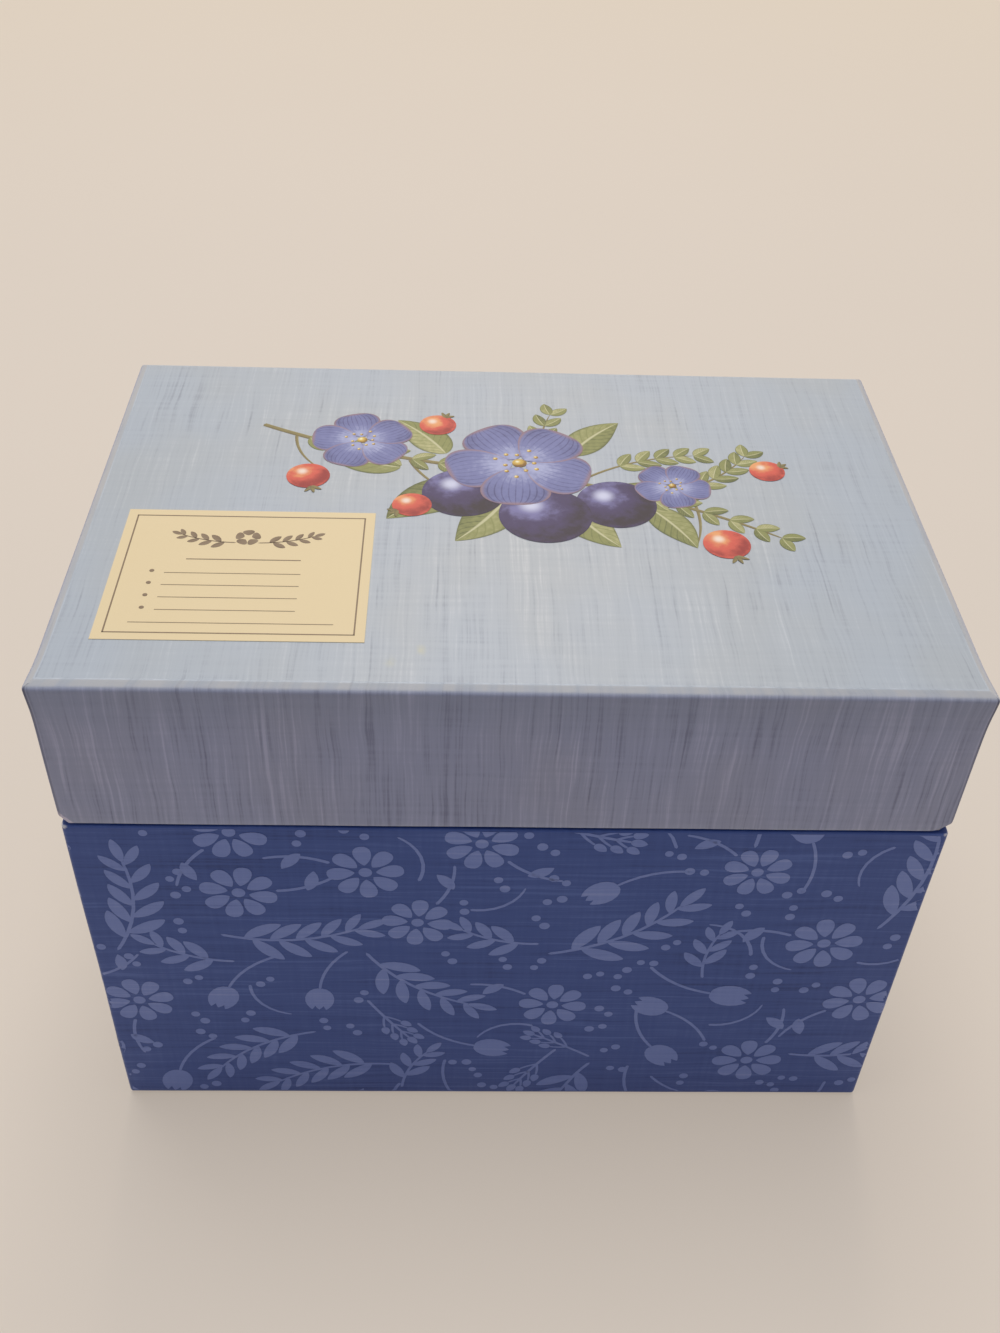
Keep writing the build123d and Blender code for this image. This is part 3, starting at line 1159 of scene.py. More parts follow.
@dataclass
class WrapSkin:
    """The printed paper on one tray: its turned-in edge, the rim, the walls and the closed side.

    A profile of inset and height is carried round the box's outline. Where the inset passes the corner
    radius, the outline's corner becomes a point, as paper does at a mitre. With a border, the paper
    ends that far under the closed side. Without one, it covers the closed side, and its map is that
    side laid flat with the walls folded out. Wear and fades are a strength and a length.
    """

    name: str
    node: str
    lining: str
    body: str
    slot: str
    paper: Paper
    opens_up: bool
    rim_round: float
    closed_round: float = 0.0
    border: float | None = None
    facet: Span | None = None
    facet_bends: Span = (0.7 * MM, 0.28 * MM)
    worn: tuple[WornCorner, ...] = ()
    flap_lift: float = 0.0
    flap_turn: float = 36.0
    flare: float = 0.0
    flare_reach: float = 4.0 * MM
    flare_forward: float = 0.25
    corner: float = 0.8 * MM
    corner_steps: int = 12
    turn_in: float = 15 * MM
    fine_zone: float = 6 * MM
    fine_step: float = 0.4 * MM
    coarse_step: float = 3 * MM
    ripple: float = 0.05 * MM
    ripple_waves: tuple[Triple, ...] = ((61.0, 0.0, 1.3), (0.0, 83.0, 0.4), (157.0, 119.0, 0.0))
    slant_share: float = 0.6
    upright_wear: Span = (0.55, 0.5 * MM)
    rim_wear: Span = (0.3, 0.5 * MM)
    rim_tip_wear: Span = (1.0, 2.2 * MM)
    fold_tip_wear: Span = (0.8, 1.6 * MM)
    # Painted highlight along the rim: its strength and fade length.
    rim_fade: Span = (1.0, 0.6 * MM)
    # Painted shadow along the side flaps' cut edges: its strength and fade length.
    seam_fade: Span = (0.65, 9 * MM)

    def __post_init__(self) -> None:
        """Reads the tray's place from the frame and works out its outer outline."""
        low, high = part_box(self.node)
        self.half_width = (high.x - low.x) / 2
        self.half_depth = (high.y - low.y) / 2
        self.height = high.z - low.z
        self.closed_z, self.rise = (low.z, 1.0) if self.opens_up else (high.z, -1.0)
        self.wall = self.half_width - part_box(self.lining)[1].x + PAPER
        if self.facet:
            self.closed_round = self.facet[0] + self.facet_bends[1]
        steps = (self.fine_zone, self.fine_step, self.coarse_step)
        self.along_x = graded(self.half_width - self.corner, *steps)
        self.along_y = graded(self.half_depth - self.corner, *steps)
        self.outline = self.ring(np.zeros(1))
        step = np.linalg.norm(np.diff(self.outline.points[0], axis=0), axis=1)
        self.distance = np.concatenate([[0.0], np.cumsum(step)])
        self.length = self.distance[-1]

    def ring(self, inset: Array) -> Outline:
        """Outlines of the box, inset by given distances, from the back left corner round by the front.

        Args:
            inset: Distances inside the outer walls.

        Returns:
            The outlines, whose corners are as round as the inset leaves them.
        """
        radius = np.maximum(self.corner - inset, 0)[:, None]
        run_x = self.half_width - inset[:, None] - radius
        run_y = self.half_depth - inset[:, None] - radius
        degrees = np.linspace(0, 90, self.corner_steps + 2)[1:-1]
        turn = np.radians(degrees)[:, None]
        sizes = (self.along_x, run_x, self.half_width), (self.along_y, run_y, self.half_depth)
        parts = []
        for side in Side:
            normal = np.array(side.value)
            travel = np.array([-normal[1], normal[0]])
            flap = side in (Side.LEFT, Side.RIGHT)
            (share, along, reach), (_, off, half) = sizes[::-1] if flap else sizes
            wrapped = degrees < 90 - self.flap_turn if flap else degrees > self.flap_turn
            straight = (half - inset)[:, None, None] * normal + (along * share)[..., None] * travel
            outward = np.broadcast_to(normal, (len(share), 2))
            parts.append((straight, outward, np.full(len(share), float(flap)), (1 - np.abs(share)) * reach))
            fan = np.cos(turn) * normal + np.sin(turn) * travel
            bend = off[..., None] * normal + along[..., None] * travel + radius[..., None] * fan
            parts.append((bend, fan, wrapped.astype(float), np.zeros(len(fan))))
        points, *others = zip(*parts)
        return Outline(np.concatenate(points, axis=1), *map(np.concatenate, others))

    def profile(self) -> Array:
        """Carries the paper from the turn-in's edge over the rim, down the wall and under.

        Returns:
            Inset and height above the closed side of each place on the way.
        """
        top = self.height
        turn = np.linspace(0, np.pi / 2, 8)
        rim = self.rim_round * stacked(1 - np.sin(turn), np.cos(turn) - 1) + (0, top)
        if self.facet:
            fold = self.pressed_fold()
        else:
            fold = self.closed_round * stacked(1 - np.cos(turn), 1 - np.sin(turn))
        upper, lower = top - self.rim_round, fold[0, 1]
        fine = min(self.fine_zone, (upper - lower) / 3)
        runs = [
            line((self.wall, top - self.turn_in), (self.wall, top), 8),
            line((self.wall, top), (self.rim_round, top), 4),
            rim,
            line((0, upper), (0, upper - fine), 14)[1:],
            line((0, upper - fine), (0, lower + fine), 16),
            line((0, lower + fine), (0, lower), 8),
            fold,
        ]
        if self.border is not None:
            runs += [line((self.closed_round, 0), (self.border, 0), 6)[1:], np.array([[self.border, 0.0]])]
        return np.concatenate(runs)

    def pressed_fold(self) -> Array:
        """A fold that was pressed to a slanting facet between two tight bends.

        Each bend is a quadratic curve from the straight before it to the straight after it.

        Returns:
            Inset and height of each place on the fold.
        """
        inset, height = self.facet
        down, inwards = np.array([0.0, -1.0]), np.array([1.0, 0.0])
        slant = np.array([inset, -height]) / math.hypot(inset, height)
        share = np.linspace(0, 1, 9)[:, None]
        curves = []
        turns = ((np.array([0.0, height]), down, slant), (np.array([inset, 0.0]), slant, inwards))
        for (middle, before, after), bend in zip(turns, self.facet_bends):
            start, end = middle - bend * before, middle + bend * after
            curves.append((1 - share) ** 2 * start + 2 * share * (1 - share) * middle + share**2 * end)
        first, last = curves
        return np.concatenate([first, line(first[-1], last[0], 4)[1:], last])

    def bulge(self, distance: Array, height: Array) -> Array:
        """How far the paper stands off a flat wall: waves round times waves up, plus slanting waves."""
        around, up, slant = (np.sin(distance * a + height * b + c) for a, b, c in self.ripple_waves)
        return self.ripple * (around * up + self.slant_share * slant)

    def on_wall(self, flat: Array, lift: Array) -> Array:
        """Places on the outer walls.

        Args:
            flat: Distance round the walls and height above the closed side, in the last axis.
            lift: Distance that each place stands off the paper.

        Returns:
            Positions.
        """
        distance, height = flat[..., 0], flat[..., 1]
        there = partial(np.interp, distance, self.distance)
        off = lift + self.bulge(distance, height) + self.flap_lift * there(self.outline.flap)
        sides = zip(self.outline.points[0].T, self.outline.outward.T)
        x, y = (there(at) + off * there(outward) for at, outward in sides)
        return stacked(x, y, self.closed_z + self.rise * height)

    def build(self) -> None:
        """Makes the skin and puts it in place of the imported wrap."""
        profile = self.profile()
        inset, height = profile.T[..., None]
        around = self.ring(profile[:, 0])
        outside = np.clip(1 - inset / (0.5 * self.wall), 0, 1)
        waves = np.clip(height / (2 * self.closed_round), 0, 1) * self.bulge(self.distance, height)
        off = outside * (waves + self.flap_lift * around.flap)
        x, y = np.moveaxis(around.points + off[..., None] * around.outward, -1, 0)
        points, torn = self.knocked(stacked(x, y, self.closed_z + self.rise * height))
        step = np.linalg.norm(np.diff(profile, axis=0), axis=1)
        reach = np.append(np.cumsum(step[::-1])[::-1], 0.0)[:, None]
        marks = self.marks(around, height, reach, outside, torn)
        if self.border is None:
            sheets = [self.closed_side(marks)]
            uv = self.ring(np.full(1, self.closed_round)).points[0] + reach[..., None] * around.outward
        else:
            sheets = []
            uv = stacked(self.distance, height)
        walls = Patch.grid(self.flared(points), uv, marks, closed=True, flip=self.opens_up)
        skin = make_piece(self.name, [walls, *sheets], crease=50)
        settle(skin, self.body, self.slot, self.paper.material(), [self.node])

    def marks(
        self, around: Outline, height: Array, reach: Array, outside: Array, torn: Array
    ) -> Marks:
        """What the print goes by: the reach, wear at edges and tips, the painted shadow of the flaps' seams,
        and the painted highlight of the rim.

        The painted shadow of the flaps' seams is a line by each side flap's cut edge, which fades down the
        wall.

        Args:
            around: The outlines.
            height: Height above the closed side.
            reach: Distance down the paper from the closed side.
            outside: One outside the tray, and nothing inside it.
            torn: Share of torn paper.

        Returns:
            The marks by name.
        """
        edge, flap, below = around.edge, around.flap, np.abs(self.height - height)
        along_edges = fading(edge, *self.upright_wear) + fading(below, *self.rim_wear)
        tips = fading(edge + below, *self.rim_tip_wear), fading(edge + height, *self.fold_tip_wear)
        wear = np.clip(np.maximum.reduce([along_edges, *tips]) * outside, 0, 1)
        # Painted shadow line along each side flap's cut edge, fading down the wall.
        cut = np.abs(flap - np.roll(flap, 1)) + np.abs(flap - np.roll(flap, -1))
        wide = np.maximum.reduce([np.roll(cut, places) for places in range(-2, 3)])
        drawn = np.clip(wide, 0, 1) * (self.flap_lift > 0)
        seam = drawn * (1 - self.seam_fade[0] + fading(reach, *self.seam_fade)) * outside
        # Painted highlight along the rim, fading away from it.
        rim = fading(below, *self.rim_fade) * outside
        values = np.broadcast_arrays(reach, np.maximum(wear, torn), seam, rim)
        return dict(zip(("reach", "wear", "seam", "rim"), values))

    def closed_side(self, marks: Marks) -> Patch:
        """The flat sheet inside the fold, whose edge points are those of the fold's last row.

        Args:
            marks: The walls' marks, which are all zero here.

        Returns:
            The sheet.
        """
        x = self.along_x * (self.half_width - self.closed_round)
        y = self.along_y * (self.half_depth - self.closed_round)
        points = stacked(*np.meshgrid(x, y), self.closed_z)
        none = dict.fromkeys(marks, np.zeros(points.shape[:2]))
        return Patch.grid(self.flared(points), points[..., :2], none, flip=self.opens_up)

    def flared(self, points: Array) -> Array:
        """Moves the closed side's front corners outwards, by an amount that dies off like a bell round them.

        Args:
            points: Positions.

        Returns:
            The moved positions.
        """
        for side in (-1, 1):
            tip = np.array([side * self.half_width, -self.half_depth, self.closed_z])
            share = np.exp(-np.sum((points - tip) ** 2, axis=-1) / (2 * self.flare_reach**2))
            points = points + self.flare * share[..., None] * np.array([side, -self.flare_forward, 0.0])
        return points

    def knocked(self, points: Array) -> tuple[Array, Array]:
        """Presses what lies past each worn corner's plane back to that plane, with a soft bend.

        The press is soft * log(1 + exp(past / soft)), where past is the distance beyond the plane.

        Args:
            points: Positions.

        Returns:
            The pressed positions, and the share of torn paper there.
        """
        torn = np.zeros(points.shape[:-1])
        for corner in self.worn:
            slope = np.array([corner.side / corner.run, -1 / corner.depth, self.rise / corner.rise])
            slope /= np.linalg.norm(slope)
            foot_z = self.closed_z + self.rise * (self.height - corner.rise)
            past = (points - (corner.side * self.half_width, -self.half_depth, foot_z)) @ slope
            press = corner.soft * np.logaddexp(0, past / corner.soft)
            points = points - press[..., None] * slope
            grown = np.clip(corner.tear_lead + past / corner.tear_run, 0, 1)
            torn = np.maximum(torn, corner.torn * grown)
        return points, torn


# Printed motifs


class Taper(Enum):
    """How a stroke's width runs: powers of the share from its start, and of the share left to its end.

    Equal halves give a disc, a larger second power gives a pointed tip, and zeros give a line.
    """

    RULE = (0.0, 0.0)
    STALK = (0.02, 0.05)
    STEM = (0.02, 0.1)
    TWIG = (0.02, 0.12)
    TENDRIL = (0.02, 0.2)
    BRANCH = (0.02, 0.3)
    SHOOT = (0.02, 0.4)
    SEPAL = (0.3, 0.6)
    DISC = (0.5, 0.5)
    SEED = (0.5, 0.7)
    BUD = (0.6, 0.8)
    CUP = (0.6, 0.9)
    BROAD_LEAF = (0.62, 0.95)
    SMALL_LEAF = (0.7, 0.8)
    PETAL = (0.75, 0.42)
    LEAF = (0.8, 0.75)
    TIP_LEAF = (0.8, 0.9)


class Stroke(NamedTuple):
    """A width carried along an arc: its start, run and largest width, its taper's powers, tone and layer."""

    x: float
    y: float
    heading: float
    length: float
    width: float
    bend: float
    fore: float
    aft: float
    tone: float
    layer: float


@dataclass
class Strokes:
    """Strokes of one print."""

    rows: list[Stroke] = field(default_factory=list)

    def add(
        self, x: float, y: float, heading: float, length: float, width: float, bend: float = 0.0,
        taper: Taper = Taper.RULE, tone: float = 0.5, layer: float = 0,
    ) -> "Strokes":
        """Adds one stroke that starts at a place and turns by bend on its way, and gives all of them."""
        self.rows.append(Stroke(x, y, heading, length, width, bend, *taper.value, tone, layer))
        return self

    def disc(self, x: float, y: float, across: float, tone: float = 0.5, layer: float = 0) -> "Strokes":
        """Adds a round spot about its centre, and gives all the strokes."""
        return self.add(x - across / 2, y, 0, across, across, 0, Taper.DISC, tone, layer)

    def placed(self, x: float, y: float, turn: float = 0, scale: float = 1, layer: float = 0) -> "Strokes":
        """The same strokes, scaled, turned about their origin and moved.

        Args:
            x: Where their origin comes to lie.
            y: Where their origin comes to lie.
            turn: Degrees that they turn by.
            scale: Times that they grow by.
            layer: How many layers they move up.

        Returns:
            The new strokes.
        """
        starts = turned(np.array([row[:2] for row in self.rows]), turn) * scale + (x, y)
        return Strokes(
            [
                row._replace(
                    x=start[0], y=start[1], heading=row.heading + turn, length=row.length * scale,
                    width=row.width * scale, layer=row.layer + layer,
                )
                for row, start in zip(self.rows, starts)
            ]
        )

    def join(self, other: "Strokes") -> None:
        """Adds the strokes of another print to this one."""
        self.rows += other.rows

    def surface(self, rows: int, columns: int) -> tuple[Array, Array, Array, Array]:
        """Grids of places over all the strokes.

        The arc's place at a share t is start + length / bend * (sin(a + bend t) - sin a, cos a -
        cos(a + bend t)), and the width goes to both sides of it at right angles. The width is its
        largest width times t ** fore * (1 - t) ** aft, scaled to reach 1.

        Args:
            rows: Places along each stroke.
            columns: Places across it.

        Returns:
            Places in metres (strokes, rows, columns, 2), map coordinates of the same shape, and the
            tone and layer of each stroke.
        """
        x, y, heading, length, width, bend, fore, aft, tone, layer = np.array(self.rows, float).T[..., None]
        heading, bend = np.radians(heading), np.radians(bend)
        bend = np.where(np.abs(bend) < STRAIGHT, STRAIGHT, bend)
        share = (1 - np.cos(np.linspace(0, np.pi, rows)))[None] / 2
        angle = heading + bend * share
        arc = stacked(np.sin(angle) - np.sin(heading), np.cos(heading) - np.cos(angle))
        spine = stacked(x, y) + (length / bend)[..., None] * arc
        both = np.maximum(fore + aft, TINY)
        peak = (np.maximum(fore, TINY) / both) ** fore * (np.maximum(aft, TINY) / both) ** aft
        half = width / 2 * share**fore * (1 - share) ** aft / peak
        normal = stacked(-np.sin(angle), np.cos(angle))
        across = np.linspace(0, 1, columns)
        places = spine[:, :, None] + (half[..., None] * (2 * across - 1))[..., None] * normal[:, :, None]
        return places * MM, np.broadcast_to(stacked(share[..., None], across), places.shape), tone, layer

    def piece(self, name: str, put: Placing, rows: int, columns: int, by_sheet: bool = False) -> Piece:
        """Makes the strokes one thin printed mesh, without the faces that a sheet's edge presses flat.

        Args:
            name: The piece's name.
            put: Gives positions from flat places in metres and layers.
            rows: Places along each stroke.
            columns: Places across it.
            by_sheet: Whether the map is the flat place itself, as on the paper below.

        Returns:
            The object.
        """
        places, uv, tone, layer = self.surface(rows, columns)
        points = put(places, np.broadcast_to(layer[..., None], places.shape[:3])).reshape(-1, 3)
        faces = grid_faces(rows, columns, len(places))[:, ::-1]
        corners = points[faces]
        twice_area = np.cross(corners[:, 2] - corners[:, 0], corners[:, 3] - corners[:, 1])
        shown = np.linalg.norm(twice_area, axis=1) > SAME_PLACE**2
        used, faces = np.unique(faces[shown], return_inverse=True)
        chosen = (places if by_sheet else uv).reshape(-1, 2)
        marks = {"tone": np.repeat(tone, rows * columns)[used]}
        return make_piece(name, [Patch(points[used], faces.reshape(-1, 4), chosen[used], marks)], merge=False)


def arc_place(heading: float, length: float, bend: float, share: float) -> Triple:
    """A place on an arc that starts at the origin, by the formula of Strokes.surface.

    Args:
        heading: The arc's first direction.
        length: Its length.
        bend: How far it turns.
        share: Where on it the place is, from 0 to 1.

    Returns:
        The place's x and y, and the heading there.
    """
    first, turn = math.radians(heading), math.radians(bend) or STRAIGHT
    angle, scale = first + turn * share, length / turn
    x, y = scale * (math.sin(angle) - math.sin(first)), scale * (math.cos(first) - math.cos(angle))
    return x, y, math.degrees(angle)


# Plants of the prints, each drawn at the origin along X


def blossom(petals: int, radius: float, heart: float, fill: float = 0.78) -> Strokes:
    """Round-tipped petals about an open heart.

    Args:
        petals: How many there are.
        radius: Distance of their tips from the middle.
        heart: Distance of their feet from the middle.
        fill: Each petal's share of its place at the rim.

    Returns:
        The petals.
    """
    made = Strokes()
    width = 2.05 * radius * math.sin(math.pi / petals) * fill
    for n in range(petals):
        angle = 360 * n / petals + 90
        x, y = heart * math.cos(math.radians(angle)), heart * math.sin(math.radians(angle))
        made.add(x, y, angle, radius - heart, width, 8, Taper.PETAL, 0.35 + 0.3 * (n % 2), n)
    return made


def twig(length: float, bend: float, pairs: int, leaf: float, width: float, stem: float) -> Strokes:
    """A curved stem with paired leaves that shrink towards its tip, and one leaf at the end.

    Args:
        length: The stem's length.
        bend: How far it turns.
        pairs: How many pairs of leaves it has.
        leaf: Length of a leaf at its foot.
        width: Width of such a leaf.
        stem: The stem's width.

    Returns:
        The twig.
    """
    made = Strokes().add(0, 0, 0, length, stem, bend, Taper.TWIG)
    for n in range(pairs):
        share = (n + 0.9) / (pairs + 0.5)
        size = 1.0 - 0.35 * share
        for side, lag in ((1, 0.0), (-1, 0.06)):
            x, y, angle = arc_place(0, length, bend, min(share + lag, 1.0))
            turn, tone = angle + side * 48, 0.3 + 0.4 * (n % 2)
            made.add(x, y, turn, leaf * size, width * size, -side * 16, Taper.LEAF, tone, n % 3)
    return made.add(*arc_place(0, length, bend, 0.98), leaf * 0.7, width * 0.7, 0, Taper.LEAF, 0.6, 1)


def bud_stalk(length: float, bend: float, head: float, stem: float) -> Strokes:
    """A bare curved stalk with a cup of three petals at its tip.

    Args:
        length: The stalk's length.
        bend: How far it turns.
        head: The cup's length.
        stem: The stalk's width.

    Returns:
        The stalk and its cup.
    """
    made = Strokes().add(0, 0, 0, length, stem, bend, Taper.STALK)
    x, y, angle = arc_place(0, length, bend, 0.99)
    for side in (-1, 1):
        made.add(x, y, angle + side * 34, head, head * 0.42, -side * 46, Taper.CUP, 0.4, 1)
    return made.add(x, y, angle, head * 0.95, head * 0.4, 0, Taper.BUD, 0.7, 2)


def daisy() -> Strokes:
    """A blossom of eight narrow petals on a curved stem with one leaf."""
    bloom = blossom(8, 8.0, 2.2, 0.6).disc(0, 0, 2.8).add(2.6, -7.2, -74, 14, 0.8, 40, Taper.STEM)
    return bloom.add(4.4, -13.4, -10, 6.2, 2.8, 20, Taper.TIP_LEAF)


def seed_head() -> Strokes:
    """A stem with three pairs of stalked seeds, and one seed at its tip.

    Returns:
        The seed head.
    """
    length, bend = 18, 8
    made = Strokes().add(0, 0, 0, length, 0.75, bend, Taper.STEM)
    for n in range(3):
        x, y, angle = arc_place(0, length, bend, 0.42 + 0.2 * n)
        for side in (-1, 1):
            stalk = (angle + side * 42, 4.4 - 0.6 * n)
            made.add(x, y, *stalk, 0.6, -side * 20, Taper.STEM)
            end_x, end_y, end_angle = arc_place(*stalk, -side * 20, 1.0)
            made.add(x + end_x, y + end_y, end_angle, 3.0, 2.0, 0, Taper.SEED)
    return made.add(*arc_place(0, length, bend, 0.98), 3.3, 2.1, 0, Taper.SEED)


def tendril() -> Strokes:
    """One thin curling line."""
    return Strokes().add(0, 0, 0, 16, 0.8, 86, Taper.TENDRIL)


def dots() -> Strokes:
    """A large dot and a smaller one beside it."""
    return Strokes().disc(0, 0, 2.2).disc(*arc_place(0, 3.1, 0, 1)[:2], 1.936)


class Sprig(Enum):
    """Motifs of the base's print: the strokes, and discs of x, y and radius for the room that they take."""

    FROND = (twig(31, 44, 5, 10.2, 3.4, 0.8), ((5, 1, 5.0), (14, 3.5, 8.0), (25, 10, 7.5)))
    DAISY = (daisy(), ((0, 0, 8.0), (5.0, -11, 3.0)))
    BELL = (bud_stalk(17, 44, 9.0, 0.75), ((6, 1, 2.0), (13, 4, 3.6), (19.5, 8.5, 5.6)))
    SHORT_FROND = (twig(17, -36, 3, 8.0, 3.0, 0.7), ((4, -1, 4.2), (12, -3, 5.6)))
    SEEDS = (seed_head(), ((5, 0, 3.0), (12, 0.5, 4.6), (17, 1, 3.4)))
    TENDRIL = (tendril(), ((4, 1, 1.6), (9, 4, 1.6), (12, 8, 1.6)))
    DOTS = (dots(), ((1.4, 0, 2.6),))


@dataclass
class BasePrint:
    """Tonal print round the base: fronds, daisies, bells, seeds and dots, scattered so that no two meet."""

    skin: WrapSkin
    ink: WovenPaper = WovenPaper(
        "tonal_ink", Shades.of((110, 126, 178), (130, 146, 195), (150, 162, 204)), Threads.ACROSS,
        ThreadLook(contrast=0.9),
    )
    lift: float = 0.03 * MM
    layer_step: float = 0.004 * MM
    edge_clear: float = 0.1 * MM
    foot_clear: float = 1.5 * MM
    rim_clear: float = 1.0 * MM
    stages: tuple[tuple[int, tuple[Sprig, ...]], ...] = (
        (70, (Sprig.FROND,)),
        (1500, (Sprig.FROND, Sprig.DAISY, Sprig.BELL)),
        (2000, (Sprig.BELL, Sprig.SHORT_FROND, Sprig.SEEDS)),
        (11000, (Sprig.SEEDS, Sprig.TENDRIL, Sprig.DOTS)),
    )
    seed: int = 23
    margin: float = 0.3
    overrun: float = 4.0
    sizes: Span = (0.92, 1.08)

    def layout(self) -> Strokes:
        """Throws motifs at random places and keeps each one whose room is still free.

        Returns:
            All the kept motifs.
        """
        rng = np.random.default_rng(self.seed)
        right, top = self.skin.length / MM + self.overrun, self.skin.height / MM + self.overrun
        taken = np.empty((0, 3))
        made = Strokes()
        for kinds in [kinds for tries, kinds in self.stages for _ in range(tries)]:
            motif, discs = kinds[rng.integers(len(kinds))].value
            x, y = rng.uniform(-self.overrun, right), rng.uniform(-self.overrun, top)
            turn, size = rng.uniform(0, 360), rng.uniform(*self.sizes)
            room = np.array(discs) * size
            room[:, :2] = turned(room[:, :2], turn) + (x, y)
            gaps = np.linalg.norm(room[:, None, :2] - taken[:, :2], axis=-1) - self.margin
            if np.all(gaps > room[:, None, 2] + taken[:, 2]):
                taken = np.concatenate([taken, room])
                made.join(motif.placed(x, y, turn, size))
        return made

    def put(self, places: Array, layers: Array) -> Array:
        """Places on the walls, where what runs past the sheet's edges is cut off.

        Args:
            places: Flat places in metres.
            layers: The layer of each.

        Returns:
            Positions.
        """
        low = (0.0, self.skin.closed_round + self.edge_clear)
        high = (self.skin.length, self.skin.height - self.skin.rim_round - self.edge_clear)
        return self.skin.on_wall(np.clip(places, low, high), self.lift + self.layer_step * layers)

    def build(self) -> None:
        """Makes the print, without the strokes that lie wholly off the sheet."""
        drawn = self.layout()
        places = drawn.surface(3, 2)[0]
        low, high = (0.0, self.foot_clear), (self.skin.length, self.skin.height - self.rim_clear)
        kept = np.any(np.all((places > low) & (places < high), axis=-1), axis=(1, 2))
        drawn = Strokes([row for row, keep in zip(drawn.rows, kept) if keep])
        piece = drawn.piece("base_tonal_print", self.put, 11, 4, by_sheet=True)
        settle(piece, self.skin.body, self.skin.slot, self.ink.material())


@dataclass
class LidPicture:
    """Painted garland on the lid: blossoms, plums, rosehips and leaves along one slanting branch.

    Shoots are x, y, heading, length and bend. Broad leaves have a width before the bend, and leafy runs
    have a count of leaves and the shares between which they grow. Fruit is x, y and its size across, and
    a hip also has the direction of its tip. Blossoms are x, y, radius, turn and layer. Inks are a name, a
    kind, places along and across a stroke, three shades and an accent.
    """

    skin: WrapSkin
    lift: float = 0.035 * MM
    layer_step: float = 0.003 * MM
    shoots: Table = (
        (-30, 19, 40, 20, 30), (-22, 17, -70, 18, 40), (11, 5, 50, 36, -46), (34, 5, 20, 26, 38),
        (-48, 27, -90, 16, 50), (40, 2, -80, 16, -30), (8, 12, 100, 26, -30), (-18, 2, 36, 12, -14),
    )
    broad_leaves: Table = (
        (-8, 8, 205, 23, 12, 24), (0, 4, 246, 21, 11, -20), (12, 2, 292, 20, 10, 22),
        (22, 6, -14, 22, 10, 26), (14, 20, 62, 19, 9, -24), (-14, 20, 118, 18, 9, 22),
        (-24, 14, 170, 19, 8.5, -26), (30, 0, -50, 17, 8, -18),
    )
    leafy_runs: Table = (
        (-56, 31, -28, 62, 22, 6, 0.2, 0.7), (11, 5, 50, 36, -46, 5, 0.5, 1.0),
        (34, 5, 20, 26, 38, 5, 0.35, 1.0), (8, 12, 100, 26, -30, 4, 0.4, 1.0),
        (-4, 13, -8, 66, -26, 6, 0.55, 1.0),
    )
    plum_places: tuple[Triple, ...] = ((-10, 4.5, 18), (23, 1, 17.5), (7.5, -3.5, 20))
    hip_places: Table = (
        (-44, 10, 9.5, -75), (-21, -0.5, 8.5, 216), (45, -13, 10, -70), (58, 15, 8, 32), (-16, 32, 8.5, 64),
    )
    blossom_places: Table = (
        (-33, 25, 11.5, 10, 14), (36, 8.5, 8.5, 40, 14), (2.5, 16.5, 16.5, 28, 19),
    )
    inks: tuple[tuple, ...] = (
        ("twig", InkKind.STEM, 24, 3, (92, 80, 58), (134, 122, 76), (176, 164, 108), (200, 190, 140)),
        ("leaf", InkKind.LEAF, 22, 9, (84, 92, 52), (140, 142, 84), (196, 190, 136), (212, 206, 160)),
        ("plum", InkKind.FRUIT, 28, 15, (30, 24, 42), (62, 52, 92), (124, 120, 162), (226, 226, 236)),
        ("hip", InkKind.FRUIT, 20, 11, (150, 48, 44), (214, 92, 72), (236, 164, 104), (250, 236, 214)),
        ("petal", InkKind.PETAL, 22, 13, (78, 81, 122), (118, 122, 163), (174, 177, 203), (160, 122, 108)),
        ("stamen", InkKind.FRUIT, 9, 5, (128, 92, 40), (206, 168, 76), (240, 220, 140), (250, 244, 214)),
    )

    def put(self, places: Array, layers: Array) -> Array:
        """Places on the lid's flat top, each layer a little above the last."""
        z = self.skin.closed_z + self.lift + self.layer_step * layers
        return stacked(places[..., 0], places[..., 1], z)

    def twigs(self) -> Strokes:
        """The main branch, its side shoots and the sepals at the fruit's tips.

        Returns:
            The strokes.
        """
        made = Strokes()
        made.add(-56, 31, -28, 62, 1.3, 22, Taper.STEM, 0.4)
        made.add(-4, 13, -8, 66, 1.3, -26, Taper.BRANCH, 0.4, -1)
        for n, (x, y, heading, length, bend) in enumerate(self.shoots):
            made.add(x, y, heading, length, 0.75, bend, Taper.SHOOT, 0.5, -2 - n)
        for x, y, across, turn in self.hip_places:
            tip_x, tip_y = turned(np.array([0.44 * across, 0.0]), turn) + (x, y)
            for side in (-1, 0, 1):
                run = (turn + 42 * side, 0.27 * across)
                made.add(tip_x, tip_y, *run, 0.95, 10 * side, Taper.SEPAL, 0.2, 27 + side)
        return made

    def leaves(self) -> Strokes:
        """Broad leaves about the fruit, and small ones along the shoots.

        Returns:
            The strokes.
        """
        made = Strokes()
        for n, leaf in enumerate(self.broad_leaves):
            made.add(*leaf, Taper.BROAD_LEAF, 0.25 + 0.25 * (n % 3), 1 + n % 4)
        for x, y, heading, length, bend, count, first, last in self.leafy_runs:
            for n in range(count):
                share = first + (last - first) * n / (count - 1)
                dx, dy, angle = arc_place(heading, length, bend, share)
                for side in (-1, 1):
                    run = (angle + side * 44, 6.6 - 1.6 * share, 2.9, -side * 20)
                    tone, layer = 0.2 + 0.3 * ((n + side) % 3), 5 + (2 * n + (side > 0)) % 6
                    made.add(x + dx, y + dy, *run, Taper.SMALL_LEAF, tone, layer)
        return made

    def plums(self) -> Strokes:
        """Three dark plums, the front one laid last.

        Returns:
            The strokes.
        """
        made = Strokes()
        for n, plum in enumerate(self.plum_places):
            made.disc(*plum, 0.4 + 0.2 * n, 11 + n)
        return made

